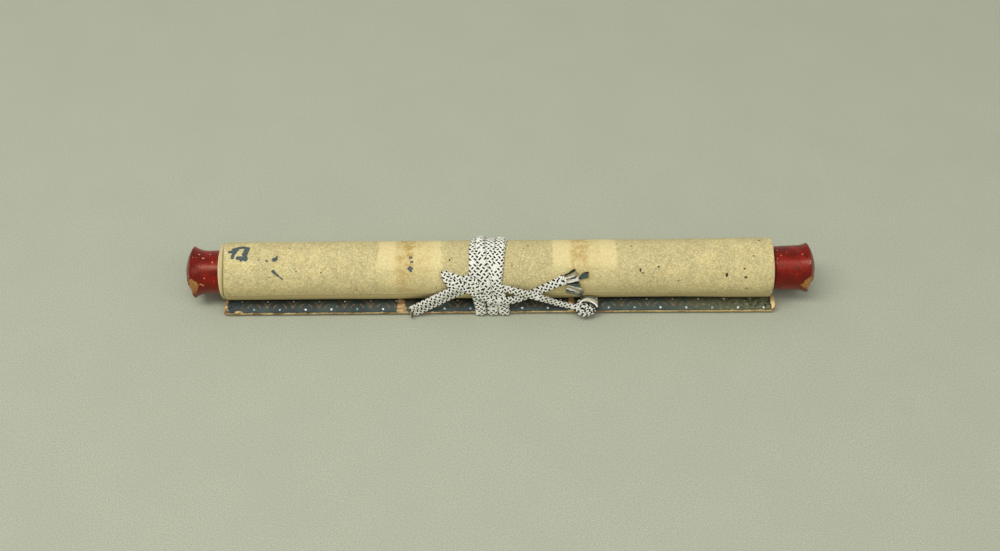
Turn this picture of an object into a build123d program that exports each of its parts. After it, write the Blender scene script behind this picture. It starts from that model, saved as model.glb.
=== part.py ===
from build123d import *
import math
import os

# A rolled hanging scroll, lying on a table with its cord tied round it.
# Millimetres. X runs along the roll, the stave lies in front of it (-Y), Z is up.
# Everything is modelled round the roll's axis and moved to the table at the end.

# Driving dimensions of the roll
rod_radius = 11.2
rod_fit = 0.1            # gap between the rod and the first turn of the sheet
sheet_thickness = 0.4    # backing paper, mounting cloth and paste together
turn_gap = 0.2
half_turns = 24
sheet_width = 349.0
flap_flare = 3.0         # how much wider the sheet has become at the stave
flap_shift = -0.6
end_play = 0.4           # between the sheet's inner turns and the knobs
# How far each turn has slipped to the left, from the knob's neck out to the last turn
slip_of_turns = [-2.6, -3.0, -2.9, -2.4, -1.8, -1.3]

# Knobs, turned and lacquered
neck_radius = 13.8
neck_gap = 0.45          # between the knob's neck and the turns that cover it
neck_and_flare = 20.6
dome_height = 5.0
left_waist_radius = 13.7
left_rim_radius = 16.5
left_flare_length = 8.5
right_waist_radius = 14.3
right_rim_radius = 15.8
right_flare_length = 7.0
rim_bevel = 0.5
tenon_radius = 6.5
tenon_length = 14.0
tenon_fit = 0.1
chip_ball_radius = 12.0
chip_depth = 1.5
chip_elevation = 13.0    # degrees above level, on the side of the stave

# Stave, a half-round lath in a sleeve made by the end of the sheet
stave_width = 10.4
stave_front_height = 2.4
stave_crown_height = 3.4
stave_back_height = 1.2
stave_overhang = 0.8     # by how much the lath is longer than its sleeve
stave_shift = -0.7
stave_corner = 0.6
sleeve_fit = 0.1
stave_offset = 9.8       # from below the roll's axis to the lath's back edge
stave_end_round = 2.5

# Eyelets, bent wire
eyelet_left_x = -56.7
eyelet_right_x = 54.6
eyelet_radius = 1.6
eyelet_wire_radius = 0.45
eyelet_leg_length = 8.0
eyelet_height = 1.5      # above the lath's flat side
eyelet_fit = 0.1
cord_clearance = 0.3     # between a cord and the wire that it passes

# Cord, a flat braid
cord_width = 7.8
tail_width = 6.4         # the tail and the right arm are pulled narrower
arm_width = 5.4
cord_thickness = 1.4
cord_fit = 0.1           # between the cord and the scroll that it ties
view_elevation = 50.0    # the cord's lie is drawn as seen from this height
knot_radius = 6.3
knot_half_thickness = 4.1
knot_bevel = 2.6
knot_centre = (54.4, -24.8)
knot_stand_off = 4.8

# Sizes that follow from the ones above
pitch = sheet_thickness + turn_gap
half_pitch = pitch / 2
first_radius = rod_radius + rod_fit + half_pitch + sheet_thickness
roll_radius = first_radius + (half_turns - 1) * half_pitch
flap_width = sheet_width + flap_flare
stave_length = flap_width + stave_overhang
shoulder_x = (sheet_width + end_play) / 2
rod_length = 2 * shoulder_x
far = rod_length         # beyond the end of anything on the scroll
sleeve = sleeve_fit + sheet_thickness
stave_front = -stave_offset - stave_width - sleeve
stave_floor = -roll_radius + sheet_thickness + sleeve_fit
front_top = stave_floor + stave_front_height + sleeve
corner_radius = stave_corner + sleeve
eyelet_y = stave_front - cord_fit - eyelet_radius - eyelet_wire_radius
eyelet_z = stave_floor + eyelet_height
front_reach = -eyelet_y + eyelet_radius + eyelet_wire_radius
back_reach = roll_radius + cord_fit + cord_thickness
axis_y = (front_reach - back_reach) / 2
axis_z = roll_radius + cord_fit + cord_thickness

# The plane in which the cord is drawn: X to the right, its own Y up the picture
tilt = math.radians(view_elevation)
picture = Plane(
    origin=(0, 0, 0), x_dir=(1, 0, 0), z_dir=(0, -math.cos(tilt), math.sin(tilt))
)

# The cord's route as seen from there, in millimetres from the roll's axis.
# It is one list for each stretch, chosen by eye, and no three points are in line.
left_arm_route = [(-56.2, -26.4), (-47.0, -22.2), (-36.5, -17.2), (-26.5, -12.6), (-14.0, -8.2)]
right_arm_route = [(-6.0, -10.4), (4.5, -12.6), (15.5, -15.5), (27.0, -18.7), (38.0, -22.4), (50.0, -24.7)]
bight_upper_route = [(-14.0, -9.6), (-24.0, -6.6), (-33.6, -2.9)]
bight_lower_route = [(-31.5, -8.1), (-25.0, -9.7), (-18.5, -13.2), (-10.5, -18.0), (-1.5, -20.2),
                     (7.5, -19.6), (14.8, -17.1), (22.5, -14.1), (30.5, -10.8), (37.5, -7.4)]
fray_outline = [(35.5, -11.4), (34.5, -4.4), (40.0, -1.8), (46.0, 0.4), (54.5, -2.2), (54.5, -5.0),
                (50.5, -8.0), (52.5, -15.6), (50.5, -17.6), (40.5, -12.4)]
stub_outline = [(55.5, -18.0), (66.0, -18.4), (66.2, -25.9), (55.5, -26.6)]
# The three turns lie close together and lean to the right under the knot
winding_outline = [(-20.9, 40.0), (3.1, 40.0), (0.6, -8.0), (5.8, -18.0), (5.8, -40.0), (-16.6, -40.0),
                   (-16.6, -18.0), (-20.3, -9.0)]
# The bight lies on the left arm and the turns, and the right arm crosses over the tail
tail_climbs_at = -32.0
tail_descends_at = 7.6
arm_climbs_at = 8.2
arm_descends_at = 30.5
ledge = 1.5              # overlap of two levels of a cord, so that they are one piece
bend_share = 0.45        # what a bend takes of the shorter run beside it
front_depth = 4.0        # how far behind the picture plane the cord on the front may lie


def placed(shape):
    """Moves a shape from the roll's axis to its place on the table."""
    return Pos(0, axis_y, axis_z) * shape


def arc(centre_z, radius, start, sweep):
    return CenterArc((0, centre_z), radius, start, sweep)


def spiral_face():
    """The turns seen from the end: half circles about two centres half a pitch apart."""
    outer = []
    inner = []
    for turn in range(half_turns):
        radius = roll_radius - turn * half_pitch
        goes_down_the_back = turn % 2 == 0
        centre_z = 0 if goes_down_the_back else half_pitch
        start = 90 if goes_down_the_back else -90
        outer.append(arc(centre_z, radius, start, -180))
        inner.append(arc(centre_z, radius - sheet_thickness, start, -180))
    low_end = Line(outer[0] @ 1, inner[0] @ 1)
    high_end = Line(outer[-1] @ 0, inner[-1] @ 0)
    return make_face(outer + inner + [low_end, high_end])


def roll_envelope():
    """What trims the turns' ends: each has slipped along by its own amount."""
    slip_from = neck_radius + neck_gap
    step = (roll_radius - slip_from) / (len(slip_of_turns) - 1)
    slips = [(slip_from + step * i, slip) for i, slip in enumerate(slip_of_turns)]
    slips.append((2 * roll_radius, slip_of_turns[-1]))
    half = sheet_width / 2
    left = [(-half + slip, radius) for radius, slip in slips]
    right = [(half + slip, radius) for radius, slip in slips]
    core = [(-half, 0), (-half, slip_from)]
    far_core = [(half, slip_from), (half, 0)]
    outline = Polyline(*core, *left, *reversed(right), *far_core, close=True)
    return revolve(Plane.XY * make_face(outline), Axis.X)


def lath_face(extra=0.0):
    """The half-round section of the lath, grown on all sides for its sleeve."""
    back = -stave_offset
    front = back - stave_width
    middle = (back + front) / 2
    floor = stave_floor
    outline = [
        Line((front, floor), (back, floor)),
        Line((back, floor), (back, floor + stave_back_height)),
        ThreePointArc(
            (back, floor + stave_back_height),
            (middle, floor + stave_crown_height),
            (front, floor + stave_front_height),
        ),
        Line((front, floor + stave_front_height), (front, floor)),
    ]
    face = fillet(make_face(outline).vertices(), stave_corner)
    return offset(face, amount=extra) if extra else face


def along(face, length, shift):
    """Extrudes a face that is drawn across the roll, centred on shift."""
    return extrude(Plane.YZ.offset(shift - length / 2) * face, length)


def end_corner(end_x):
    """A cutter that rounds the worn front corner of the stave's right end."""
    radius = stave_end_round
    block = Pos(end_x, stave_front, 0) * Box(2 * radius, 2 * radius, 4 * roll_radius)
    post = Pos(end_x - radius, stave_front + radius, 0) * Cylinder(radius, 5 * roll_radius)
    return block - post


def eyelet_hole(x):
    """The hole that the eyelet's leg fills, through the sleeve into the lath."""
    depth = eyelet_leg_length + eyelet_radius + cord_fit
    hole = Cylinder(
        eyelet_wire_radius + eyelet_fit, depth, align=(Align.CENTER, Align.CENTER, Align.MIN)
    )
    return Pos(x, eyelet_y + eyelet_radius, eyelet_z) * Rot(-90, 0, 0) * hole


def scroll_sheet():
    """The whole sheet: its turns, the flat stretch below them, and the stave's sleeve."""
    turns = along(spiral_face(), 2 * far, 0) & roll_envelope()
    strip = Pos(-stave_offset / 2, -roll_radius + sheet_thickness / 2) * Rectangle(
        stave_offset, sheet_thickness
    )
    sleeve_face = lath_face(sleeve) + strip - lath_face(sleeve_fit)
    flap = along(sleeve_face, flap_width, flap_shift)
    flap -= end_corner(flap_shift + flap_width / 2)
    flap -= eyelet_hole(eyelet_left_x)
    flap -= eyelet_hole(eyelet_right_x)
    return turns + flap


def top_stave():
    lath = along(lath_face(), stave_length, stave_shift)
    lath -= end_corner(stave_shift + stave_length / 2)
    lath -= eyelet_hole(eyelet_left_x)
    return lath - eyelet_hole(eyelet_right_x)


def roller_rod():
    tenon_reach = rod_length + 2 * tenon_length
    rod = Rot(0, 90, 0) * Cylinder(rod_radius, rod_length)
    return rod + Rot(0, 90, 0) * Cylinder(tenon_radius, tenon_reach)


def knob(side, waist_radius, rim_radius, flare_length):
    """A turned knob: neck, concave flare, rim and domed end. Side is -1 or 1."""
    flare_start = neck_and_flare - flare_length
    tip = neck_and_flare + dome_height
    half_way = rim_radius / 2
    sphere = (rim_radius**2 + dome_height**2) / (2 * dome_height)
    half_way_x = tip - sphere + math.sqrt(sphere**2 - half_way**2)
    slope = (waist_radius - neck_radius) / flare_start
    outline = [
        Line((0, 0), (0, neck_radius)),
        Line((0, neck_radius), (flare_start, waist_radius)),
        TangentArc((flare_start, waist_radius), (neck_and_flare, rim_radius), tangent=(1, slope)),
        ThreePointArc((neck_and_flare, rim_radius), (half_way_x, half_way), (tip, 0)),
        Line((tip, 0), (0, 0)),
    ]
    face = make_face(outline)
    rim = face.vertices().sort_by(Axis.Y)[-1]
    body = revolve(Plane.XY * chamfer(rim, rim_bevel), Axis.X)
    socket_depth = tenon_length + tenon_fit
    socket = Cylinder(tenon_radius + tenon_fit, socket_depth)
    body -= Pos(socket_depth / 2, 0, 0) * Rot(0, 90, 0) * socket
    lean = math.radians(chip_elevation)
    outward = Vector(1, -math.cos(lean), math.sin(lean)).normalized()
    rim_point = Vector(neck_and_flare, -rim_radius * math.cos(lean), rim_radius * math.sin(lean))
    centre = rim_point + outward * (chip_ball_radius - chip_depth)
    body -= Pos(*centre) * Sphere(chip_ball_radius)
    if side < 0:
        body = mirror(body, Plane.YZ)
    return Pos(side * shoulder_x, 0, 0) * body


def eyelet(x):
    """A wire ring on the stave's front edge, with its leg driven into the lath."""
    ring = Pos(x, eyelet_y, eyelet_z) * Rot(0, 90, 0) * Torus(eyelet_radius, eyelet_wire_radius)
    leg = Cylinder(
        eyelet_wire_radius, eyelet_leg_length, align=(Align.CENTER, Align.CENTER, Align.MIN)
    )
    return ring + Pos(x, eyelet_y + eyelet_radius, eyelet_z) * Rot(-90, 0, 0) * leg


def eyelet_slot(x):
    """A slot with room for the eyelet, cut out of a cord that is tied to it."""
    wire = eyelet_wire_radius + cord_clearance
    reach = eyelet_radius + wire
    slot = Box(2 * wire, 2 * reach + eyelet_leg_length, 2 * reach)
    return Pos(x, eyelet_y + eyelet_leg_length / 2, eyelet_z) * slot


def belt_face(stand_off):
    """The outline that a tight cord takes round the roll and the stave, grown by stand_off."""
    corner_y = stave_front + corner_radius
    top_z = front_top - corner_radius
    low_z = -roll_radius + corner_radius
    distance = math.hypot(corner_y, top_z)
    bearing = math.degrees(math.atan2(top_z, corner_y)) % 360
    turn = math.degrees(math.acos((roll_radius - corner_radius) / distance))
    leave = bearing - turn
    big = roll_radius + stand_off
    small = corner_radius + stand_off
    round_the_roll = CenterArc((0, 0), big, leave, -(leave + 90))
    low_corner = CenterArc((corner_y, low_z), small, 270, -90)
    high_corner = CenterArc((corner_y, top_z), small, 180, leave - 180)
    return make_face([
        round_the_roll,
        Line(round_the_roll @ 1, low_corner @ 0),
        low_corner,
        Line(low_corner @ 1, high_corner @ 0),
        high_corner,
        Line(high_corner @ 1, round_the_roll @ 0),
    ])


def belt_layer(level):
    """The space of one layer of cord: level 0 lies on the scroll, level 1 on that."""
    inside = cord_fit + level * cord_thickness
    ring = belt_face(inside + cord_thickness) - belt_face(inside)
    return along(ring, flap_width, 0)


def laid(face, level, from_x=-far, to_x=far, both_sides=False):
    """Lays a flat face of the picture plane on the scroll, as one layer of cord."""
    window = Pos((from_x + to_x) / 2, 0) * Rectangle(to_x - from_x, far)
    in_front = 3 * roll_radius
    behind = in_front if both_sides else front_depth
    prism = extrude(picture.offset(-behind) * (face & window), behind + in_front)
    return prism & belt_layer(level)


def band(name, route, width=cord_width):
    """A cord's flat outline along its route: straight runs joined by tangent arcs."""
    runs = [(Vector(*b) - Vector(*a)) for a, b in zip(route, route[1:])]
    radii = []
    for before, after in zip(runs, runs[1:]):
        half_turn = math.radians(before.get_angle(after) / 2)
        radii.append(bend_share * min(before.length, after.length) / math.tan(half_turn))
    path = FilletPolyline(*route, radius=radii)
    print(f"{name}: length {path.length:.1f}, arc radii", [round(r, 1) for r in radii])
    face = trace(path, line_width=width)
    for end in (route[0], route[-1]):
        face += Pos(*end) * Circle(width / 2)
    return face


def winding_cord_turns():
    """Three turns side by side round roll and stave, as one band of their outer shape."""
    outline = Polyline(*winding_outline, close=True)
    return laid(make_face(outline), 0, both_sides=True)


def winding_cord_tail():
    """The cord's loose end: a flat bight to the left, then across the turns to its fray."""
    upper = band("winding cord, bight, upper leg", bight_upper_route)
    lower = band("winding cord, bight and tail", bight_lower_route, tail_width)
    face = upper + lower + make_face(Polyline(*fray_outline, close=True))
    tail = laid(face, 0, to_x=tail_climbs_at)
    tail += laid(face, 1, tail_climbs_at - ledge, tail_descends_at)
    return tail + laid(face, 0, from_x=tail_descends_at - ledge)


def knot_solid():
    """The outer shape of the knot at the right eyelet: a thick round button."""
    half_section = Pos(knot_radius / 2, 0) * Rectangle(knot_radius, 2 * knot_half_thickness)
    rim_corners = half_section.vertices().group_by(Axis.X)[-1]
    button = revolve(Plane.XZ * chamfer(rim_corners, knot_bevel), Axis.Z)
    return picture.offset(knot_stand_off) * Pos(*knot_centre) * button


def hanging_cord_knot():
    scroll_space = along(belt_face(cord_fit), flap_width, 0)
    knot = knot_solid() - scroll_space
    stub = biggest(laid(make_face(Polyline(*stub_outline, close=True)), 0))
    return knot + stub - eyelet_slot(eyelet_right_x)


def hanging_cord_left_arm(turns, tail):
    arm = laid(band("hanging cord, left arm", left_arm_route), 0)
    arm -= eyelet_slot(eyelet_left_x)
    return biggest(arm - turns - tail)


def hanging_cord_right_arm(turns, tail, knot):
    face = band("hanging cord, right arm", right_arm_route, arm_width)
    arm = laid(face, 0, to_x=arm_climbs_at + ledge)
    arm += laid(face, 1, arm_climbs_at, arm_descends_at)
    arm += laid(face, 0, from_x=arm_descends_at - ledge)
    return biggest(arm - turns - tail - knot)


def biggest(shape):
    """The main solid of a cut shape, without the sliver that lies under the turns."""
    return shape.solids().sort_by(SortBy.VOLUME)[-1]


turns = winding_cord_turns()
tail = winding_cord_tail()
knot = hanging_cord_knot()
nodes = {
    "scroll_sheet": scroll_sheet(),
    "roller_rod": roller_rod(),
    "left_knob": knob(-1, left_waist_radius, left_rim_radius, left_flare_length),
    "right_knob": knob(1, right_waist_radius, right_rim_radius, right_flare_length),
    "top_stave": top_stave(),
    "left_eyelet": eyelet(eyelet_left_x),
    "right_eyelet": eyelet(eyelet_right_x),
    "winding_cord_turns": turns,
    "winding_cord_tail": tail,
    "hanging_cord_left_arm": hanging_cord_left_arm(turns, tail),
    "hanging_cord_right_arm": hanging_cord_right_arm(turns, tail, knot),
    "hanging_cord_knot": knot,
}

os.makedirs("parts", exist_ok=True)
for name, shape in nodes.items():
    export_step(placed(shape), f"parts/{name}.step")
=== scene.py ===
import math
from functools import reduce

import bpy
import numpy as np
from mathutils import Matrix, Vector, noise

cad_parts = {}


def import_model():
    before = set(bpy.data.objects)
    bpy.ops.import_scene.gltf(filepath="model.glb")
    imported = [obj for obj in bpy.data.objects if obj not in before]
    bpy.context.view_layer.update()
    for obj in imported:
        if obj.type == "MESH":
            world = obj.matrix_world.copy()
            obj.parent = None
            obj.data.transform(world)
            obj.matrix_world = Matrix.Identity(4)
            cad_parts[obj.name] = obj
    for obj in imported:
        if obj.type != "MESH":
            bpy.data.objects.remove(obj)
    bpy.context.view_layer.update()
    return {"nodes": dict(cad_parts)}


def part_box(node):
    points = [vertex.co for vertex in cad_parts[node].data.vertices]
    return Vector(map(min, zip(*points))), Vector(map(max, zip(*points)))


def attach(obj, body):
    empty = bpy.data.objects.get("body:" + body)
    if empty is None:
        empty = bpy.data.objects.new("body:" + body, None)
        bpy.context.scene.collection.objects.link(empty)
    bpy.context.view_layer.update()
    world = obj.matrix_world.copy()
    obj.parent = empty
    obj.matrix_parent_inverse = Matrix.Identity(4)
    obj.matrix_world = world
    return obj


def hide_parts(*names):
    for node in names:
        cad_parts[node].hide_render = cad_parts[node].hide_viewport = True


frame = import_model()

# A rolled hanging scroll with its braided cord tied round it.
# Shapes are worked out in millimetres round the roll's axis and turned into metres at the end:
# X runs along the roll, the stave lies in front (-Y) and Z is up.

MM = 0.001
BODY = "root"
RNG = np.random.default_rng(11)

# Places and sizes read from the frame
rod_low, rod_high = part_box("roller_rod")
sheet_low, sheet_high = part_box("scroll_sheet")
AXIS_Y = (rod_low.y + rod_high.y) / 2
AXIS_Z = (rod_low.z + rod_high.z) / 2
ROLL_RADIUS = (sheet_high.y - AXIS_Y) / MM
STAVE_FRONT = (sheet_low.y - AXIS_Y) / MM
KNOB_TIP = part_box("right_knob")[1].x / MM

# The sheet, as in the solids
SHEET = 0.4
TURN_GAP = 0.2
HALF_PITCH = (SHEET + TURN_GAP) / 2
HALF_TURNS = 24
SHEET_WIDTH = 349.0
# How far each turn has slipped along the roll, from the outermost inward
SLIPS = [-0.6, -1.8, -2.6, -2.8, -3.0, -3.3, -3.4, -3.3, -3.3, -1.5, 0.0, 0.0]
BELLY_WEAR = [1.6, 1.2, 0.4, 0.2, 0.1]     # how far each of the outer turns is worn back at the front
BELLY_ANGLE = 127         # round the roll, where that is most
BELLY_REACH = 48
RIGHT_EDGE = 171.7        # where the loosened turns end on the right
LOOSENING = (0.6, 105.0, 168.0)            # how far the outermost turn stands off there, and from where on
LOOSE_TURNS = 4
NECK_RADIUS = 13.8

# Where the stave and the fold over it have pressed the turns flat, as angles round the roll
FLAT_FROM = 190.0
FLAT_TO = 227.0
FLAT_TAKEN_UP = 0.2       # by how much each turn inward is pressed less
FLAT_SOFTNESS = 0.9       # how gently the round side runs into the flat

# The crease above the stave lies lower at both ends: by how many mm, and from where to where
CREASE_RIGHT = (2.4, 70.0, 125.0)
CREASE_LEFT = (1.4, 120.0, 165.0)

# The stave and its sleeve, as in the solids
STAVE_BACK = -9.8
STAVE_WIDTH = 10.4
FRONT_HEIGHT = 2.4
CROWN_HEIGHT = 3.4
BACK_HEIGHT = 1.2
STAVE_CORNER = 0.6
SLEEVE_FIT = 0.1
SLEEVE = SLEEVE_FIT + SHEET
FLAP_WIDTH = 352.0
FLAP_SHIFT = -0.6

# The cord
CORD_WIDTH = 7.8
CORD_THICKNESS = 1.4
CORD_FIT = 0.1
TABLE = -20.4              # the table's height from the roll's axis

# The photograph's view
ELEVATION = math.radians(50.0)
CAMERA_DISTANCE = 850.0
MM_PER_PIXEL = 0.64
FRAME_WIDTH = 1000
FRAME_HEIGHT = 551
SENSOR = 36.0
ROLL_OF_VIEW = math.radians(0.44)
AXIS_PIXEL_X = 500.6      # where the middle of the roll's axis is in the photograph
AXIS_PIXEL_Y = 269.8
AXIS_PIXEL_SLOPE = -0.0077


def world(points):
    """Millimetres round the roll's axis to metres in the frame."""
    points = np.asarray(points, float) * MM
    return points + np.array([0.0, AXIS_Y, AXIS_Z])


def srgb(red, green, blue):
    """A colour as the photograph shows it, 0 to 255, turned into a linear colour."""
    out = []
    for value in (red, green, blue):
        c = value / 255
        out.append(c / 12.92 if c <= 0.04045 else ((c + 0.055) / 1.055) ** 2.4)
    return (*out, 1.0)


def smooth(x, low, high):
    """0 below low, 1 above high and an even slope between them."""
    t = np.clip((np.asarray(x, float) - low) / (high - low), 0, 1)
    return t * t * (3 - 2 * t)


def raised(x, start, full, still_full, end):
    """0 outside, 1 in the middle, with an even rise and an even fall."""
    return smooth(x, start, full) * (1 - smooth(x, still_full, end))


def lengths_along(points):
    """How far along a line each of its points lies."""
    return np.concatenate([[0], np.cumsum(np.linalg.norm(np.diff(points, axis=0), axis=1))])


def seen(px, py, nearness=0.8):
    """A point of the photograph as millimetres right of the roll's middle and up the picture."""
    factor = MM_PER_PIXEL * (1 - nearness * ROLL_RADIUS / CAMERA_DISTANCE)
    axis = AXIS_PIXEL_Y + AXIS_PIXEL_SLOPE * (px - AXIS_PIXEL_X)
    return (px - AXIS_PIXEL_X) * factor, (axis - py) * factor


def height_seen(points):
    """How far up the picture points lie, when their distance doesn't count."""
    return points[:, 1] * math.sin(ELEVATION) + points[:, 2] * math.cos(ELEVATION)


def towards_camera(points):
    """How far points stand out from the roll's axis towards the camera."""
    return points[:, 2] * math.sin(ELEVATION) - points[:, 1] * math.cos(ELEVATION)


def camera_plane(points):
    """Points as the camera sees them on the plane through the roll's axis: right and up."""
    share = 1 - towards_camera(points) / CAMERA_DISTANCE
    return np.stack([points[:, 0] / share, height_seen(points) / share], -1)


def wobble(x, y=0.0, z=0.0):
    return noise.noise(Vector((x, y, z)))


def add_object(name, vertices, faces, materials, face_material=None):
    """One piece of the object from millimetre points. It rides on the scroll's one body."""
    mesh = bpy.data.meshes.new(name)
    mesh.from_pydata(world(vertices).tolist(), [], faces)
    for material in materials:
        mesh.materials.append(material)
    if face_material is not None:
        mesh.polygons.foreach_set("material_index", np.asarray(face_material, np.int32))
    mesh.polygons.foreach_set("use_smooth", [True] * len(mesh.polygons))
    piece = bpy.data.objects.new(name, mesh)
    bpy.context.scene.collection.objects.link(piece)
    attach(piece, BODY)
    return piece


def add_values(piece, name, values, kind="FLOAT"):
    """A value for each point, which a material reads by its name."""
    attribute = piece.data.attributes.new(name, kind, "POINT")
    key = "value" if kind == "FLOAT" else "vector"
    attribute.data.foreach_set(key, np.asarray(values, np.float32).ravel())


# Camera

def add_camera():
    camera = bpy.data.objects.new("camera", bpy.data.cameras.new("camera"))
    bpy.context.scene.collection.objects.link(camera)
    bpy.context.scene.camera = camera
    camera.data.sensor_width = SENSOR
    camera.data.lens = CAMERA_DISTANCE / MM_PER_PIXEL / FRAME_WIDTH * SENSOR
    back = Vector((0, -math.cos(ELEVATION), math.sin(ELEVATION)))
    up = Vector((0, math.sin(ELEVATION), math.cos(ELEVATION)))
    right = Vector((1, 0, 0))
    centre_x = (FRAME_WIDTH / 2 - AXIS_PIXEL_X) * MM_PER_PIXEL
    centre_v = (AXIS_PIXEL_Y - FRAME_HEIGHT / 2) * MM_PER_PIXEL
    place = right * centre_x + up * centre_v + back * CAMERA_DISTANCE
    rolled_right = right * math.cos(ROLL_OF_VIEW) - up * math.sin(ROLL_OF_VIEW)
    rolled_up = right * math.sin(ROLL_OF_VIEW) + up * math.cos(ROLL_OF_VIEW)
    turn = Matrix((rolled_right, rolled_up, back)).transposed().to_4x4()
    camera.matrix_world = Matrix.Translation(Vector(world(place))) @ turn
    camera.data.clip_start = 0.01
    camera.data.clip_end = 20


# Cords. Their routes are given as seen in the picture: right of the roll's middle and up.

LEFT_ARM = [(-56.2, -26.4), (-47.0, -22.2), (-36.5, -17.2), (-26.5, -12.6), (-14.0, -8.2)]
RIGHT_ARM = [(-6.0, -10.4), (4.5, -12.6), (15.5, -15.5), (27.0, -18.7), (38.0, -22.4), (50.0, -24.7)]
BIGHT_UPPER = [(-14.0, -9.6), (-24.0, -6.6), (-33.6, -2.9)]
BIGHT_LOWER = [(-31.5, -8.1), (-25.0, -9.7), (-18.5, -13.2), (-10.5, -18.0), (-1.5, -20.2),
               (7.5, -19.6), (14.8, -17.1), (22.5, -14.1), (30.5, -10.8), (37.5, -7.4)]
BELT_STEPS = 700


def belt_table():
    """The outline round roll and stave: its length, y, z and outward angle, from the far side on."""
    corner = STAVE_CORNER + SLEEVE
    corner_y = STAVE_FRONT + corner
    top_z = -ROLL_RADIUS + SLEEVE + FRONT_HEIGHT + SLEEVE - corner
    low_z = -ROLL_RADIUS + corner
    bearing = math.atan2(top_z, corner_y) % math.tau
    leave = bearing - math.acos((ROLL_RADIUS - corner) / math.hypot(corner_y, top_z))
    start = math.pi / 2 - ELEVATION
    arcs = [
        (0, 0, ROLL_RADIUS, start, leave),
        (corner_y, top_z, corner, leave, math.pi),
        (corner_y, low_z, corner, math.pi, 1.5 * math.pi),
        (0, 0, ROLL_RADIUS, 1.5 * math.pi, start + math.tau),
    ]
    rows = []
    for y, z, radius, first, last in arcs:
        for angle in np.linspace(first, last, BELT_STEPS):
            rows.append((y + radius * math.cos(angle), z + radius * math.sin(angle), angle))
    y, z, angle = np.array(rows).T
    length = np.concatenate([[0], np.cumsum(np.hypot(np.diff(y), np.diff(z)))])
    return length, y, z, angle


BELT = belt_table()
GIRTH = BELT[0][-1]
TOP_OF_ROLL = float(np.interp(math.pi / 2, BELT[3], BELT[0]))


def belt_at(length, stand_off):
    """Point and outward normal on the belt's outline, grown by stand_off."""
    length = np.mod(length, GIRTH)
    y, z, angle = (np.interp(length, BELT[0], column) for column in BELT[1:])
    normal = np.stack([np.zeros_like(angle), np.cos(angle), np.sin(angle)], -1)
    return np.stack([np.zeros_like(y), y, z], -1) + normal * np.expand_dims(stand_off, -1), normal


def belt_seen_at(height, stand_off):
    """Where on the belt's outline a point lies that is seen at that height in the picture."""
    length, y, z, angle = BELT
    front = angle <= 1.5 * math.pi - ELEVATION
    found = []
    for v, off in zip(np.atleast_1d(height), np.broadcast_to(stand_off, np.shape(height))):
        lifted = np.stack([np.zeros_like(y), y + off * np.cos(angle), z + off * np.sin(angle)], -1)
        row = height_seen(lifted)
        found.append(np.interp(-v, -row[front], length[front]))
    return np.array(found)


def laid_points(route, stand_off):
    """Points of the picture laid on the scroll, stand_off millimetres off it."""
    route = np.asarray(route, float)
    points, normals = belt_at(belt_seen_at(route[:, 1], stand_off), stand_off)
    points[:, 0] = route[:, 0]
    return points, normals


def smooth_line(name, points):
    """Points along the smooth NURBS line that the route's points control."""
    curve = bpy.data.curves.new(name, "CURVE")
    curve.dimensions = "3D"
    curve.resolution_u = 24
    spline = curve.splines.new("NURBS")
    spline.points.add(len(points) - 1)
    for target, point in zip(spline.points, points):
        target.co = (*point, 1.0)
    spline.order_u = 3
    spline.use_endpoint_u = True
    holder = bpy.data.objects.new(name, curve)
    mesh = bpy.data.meshes.new_from_object(holder)
    line = np.array([vertex.co for vertex in mesh.vertices])
    bpy.data.objects.remove(holder)
    bpy.data.curves.remove(curve)
    bpy.data.meshes.remove(mesh)
    return line


def cord_line(name, route, stand_off):
    """A cord's smooth centreline on the scroll and its normals. stand_off may depend on X."""
    control, _ = laid_points(route, stand_off(np.asarray(route)[:, 0]))
    line = smooth_line(name, control)
    return laid_points(np.stack([line[:, 0], height_seen(line)], -1), stand_off(line[:, 0]))


def level(number):
    """How far the middle of a layer of cord stands off the scroll."""
    return CORD_FIT + (number + 0.5) * CORD_THICKNESS


# The braid: strands run slantwise round a flat core, over two and under two
STRANDS_EACH_WAY = 9      # in a full width; the narrower stretches show fewer
TAIL_STRANDS = 8
NARROW_STRANDS = 7
BRAID_SLANT = math.radians(51)
STRAND_WIDTH = 1.14       # sizes of a strand and its weave in mm
STRAND_HEIGHT = 0.68
STRAND_STEP = 0.43
WEAVE_DEPTH = 0.29
STRAND_SIDES = 7
CORE_SIDES = 14
CORE_SHARE = 0.5          # of the braid's thickness between its strands
CORE_SUNK = 0.1
MARK_EVERY = 3            # passes over the others in a column of them, for each that is black
MARK_REACH = 1.02         # how much of such a pass is black
PALE_SHARE = 0.07         # marks that are hidden by the strands beside them


def line_frame(points, normals):
    """Length, side and normal along a line of points."""
    length = lengths_along(points)
    tangent = np.gradient(points, length, axis=0)
    tangent /= np.linalg.norm(tangent, axis=1)[:, None]
    side = np.cross(normals, tangent)
    side /= np.linalg.norm(side, axis=1)[:, None]
    return length, side, np.cross(tangent, side)


def without_doubles(points, normals):
    keep = np.concatenate([[True], np.linalg.norm(np.diff(points, axis=0), axis=1) > 1e-4])
    return points[keep], normals[keep]


def ring_faces(rows, sides, first=0, flip=False):
    """Faces between rings of points that follow each other, from the point numbered first."""
    faces = []
    for row in range(rows - 1):
        a, b = first + row * sides, first + (row + 1) * sides
        for k in range(sides):
            n = (k + 1) % sides
            face = (a + k, a + n, b + n, b + k)
            faces.append(face[::-1] if flip else face)
    return faces


def closed_faces(rows, sides, flip=False):
    """The same with a cap at both ends."""
    first_cap, last_cap = tuple(range(sides)), tuple(range((rows - 1) * sides, rows * sides))
    caps = [first_cap, last_cap[::-1]] if flip else [first_cap[::-1], last_cap]
    return ring_faces(rows, sides, flip=flip) + caps


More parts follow.
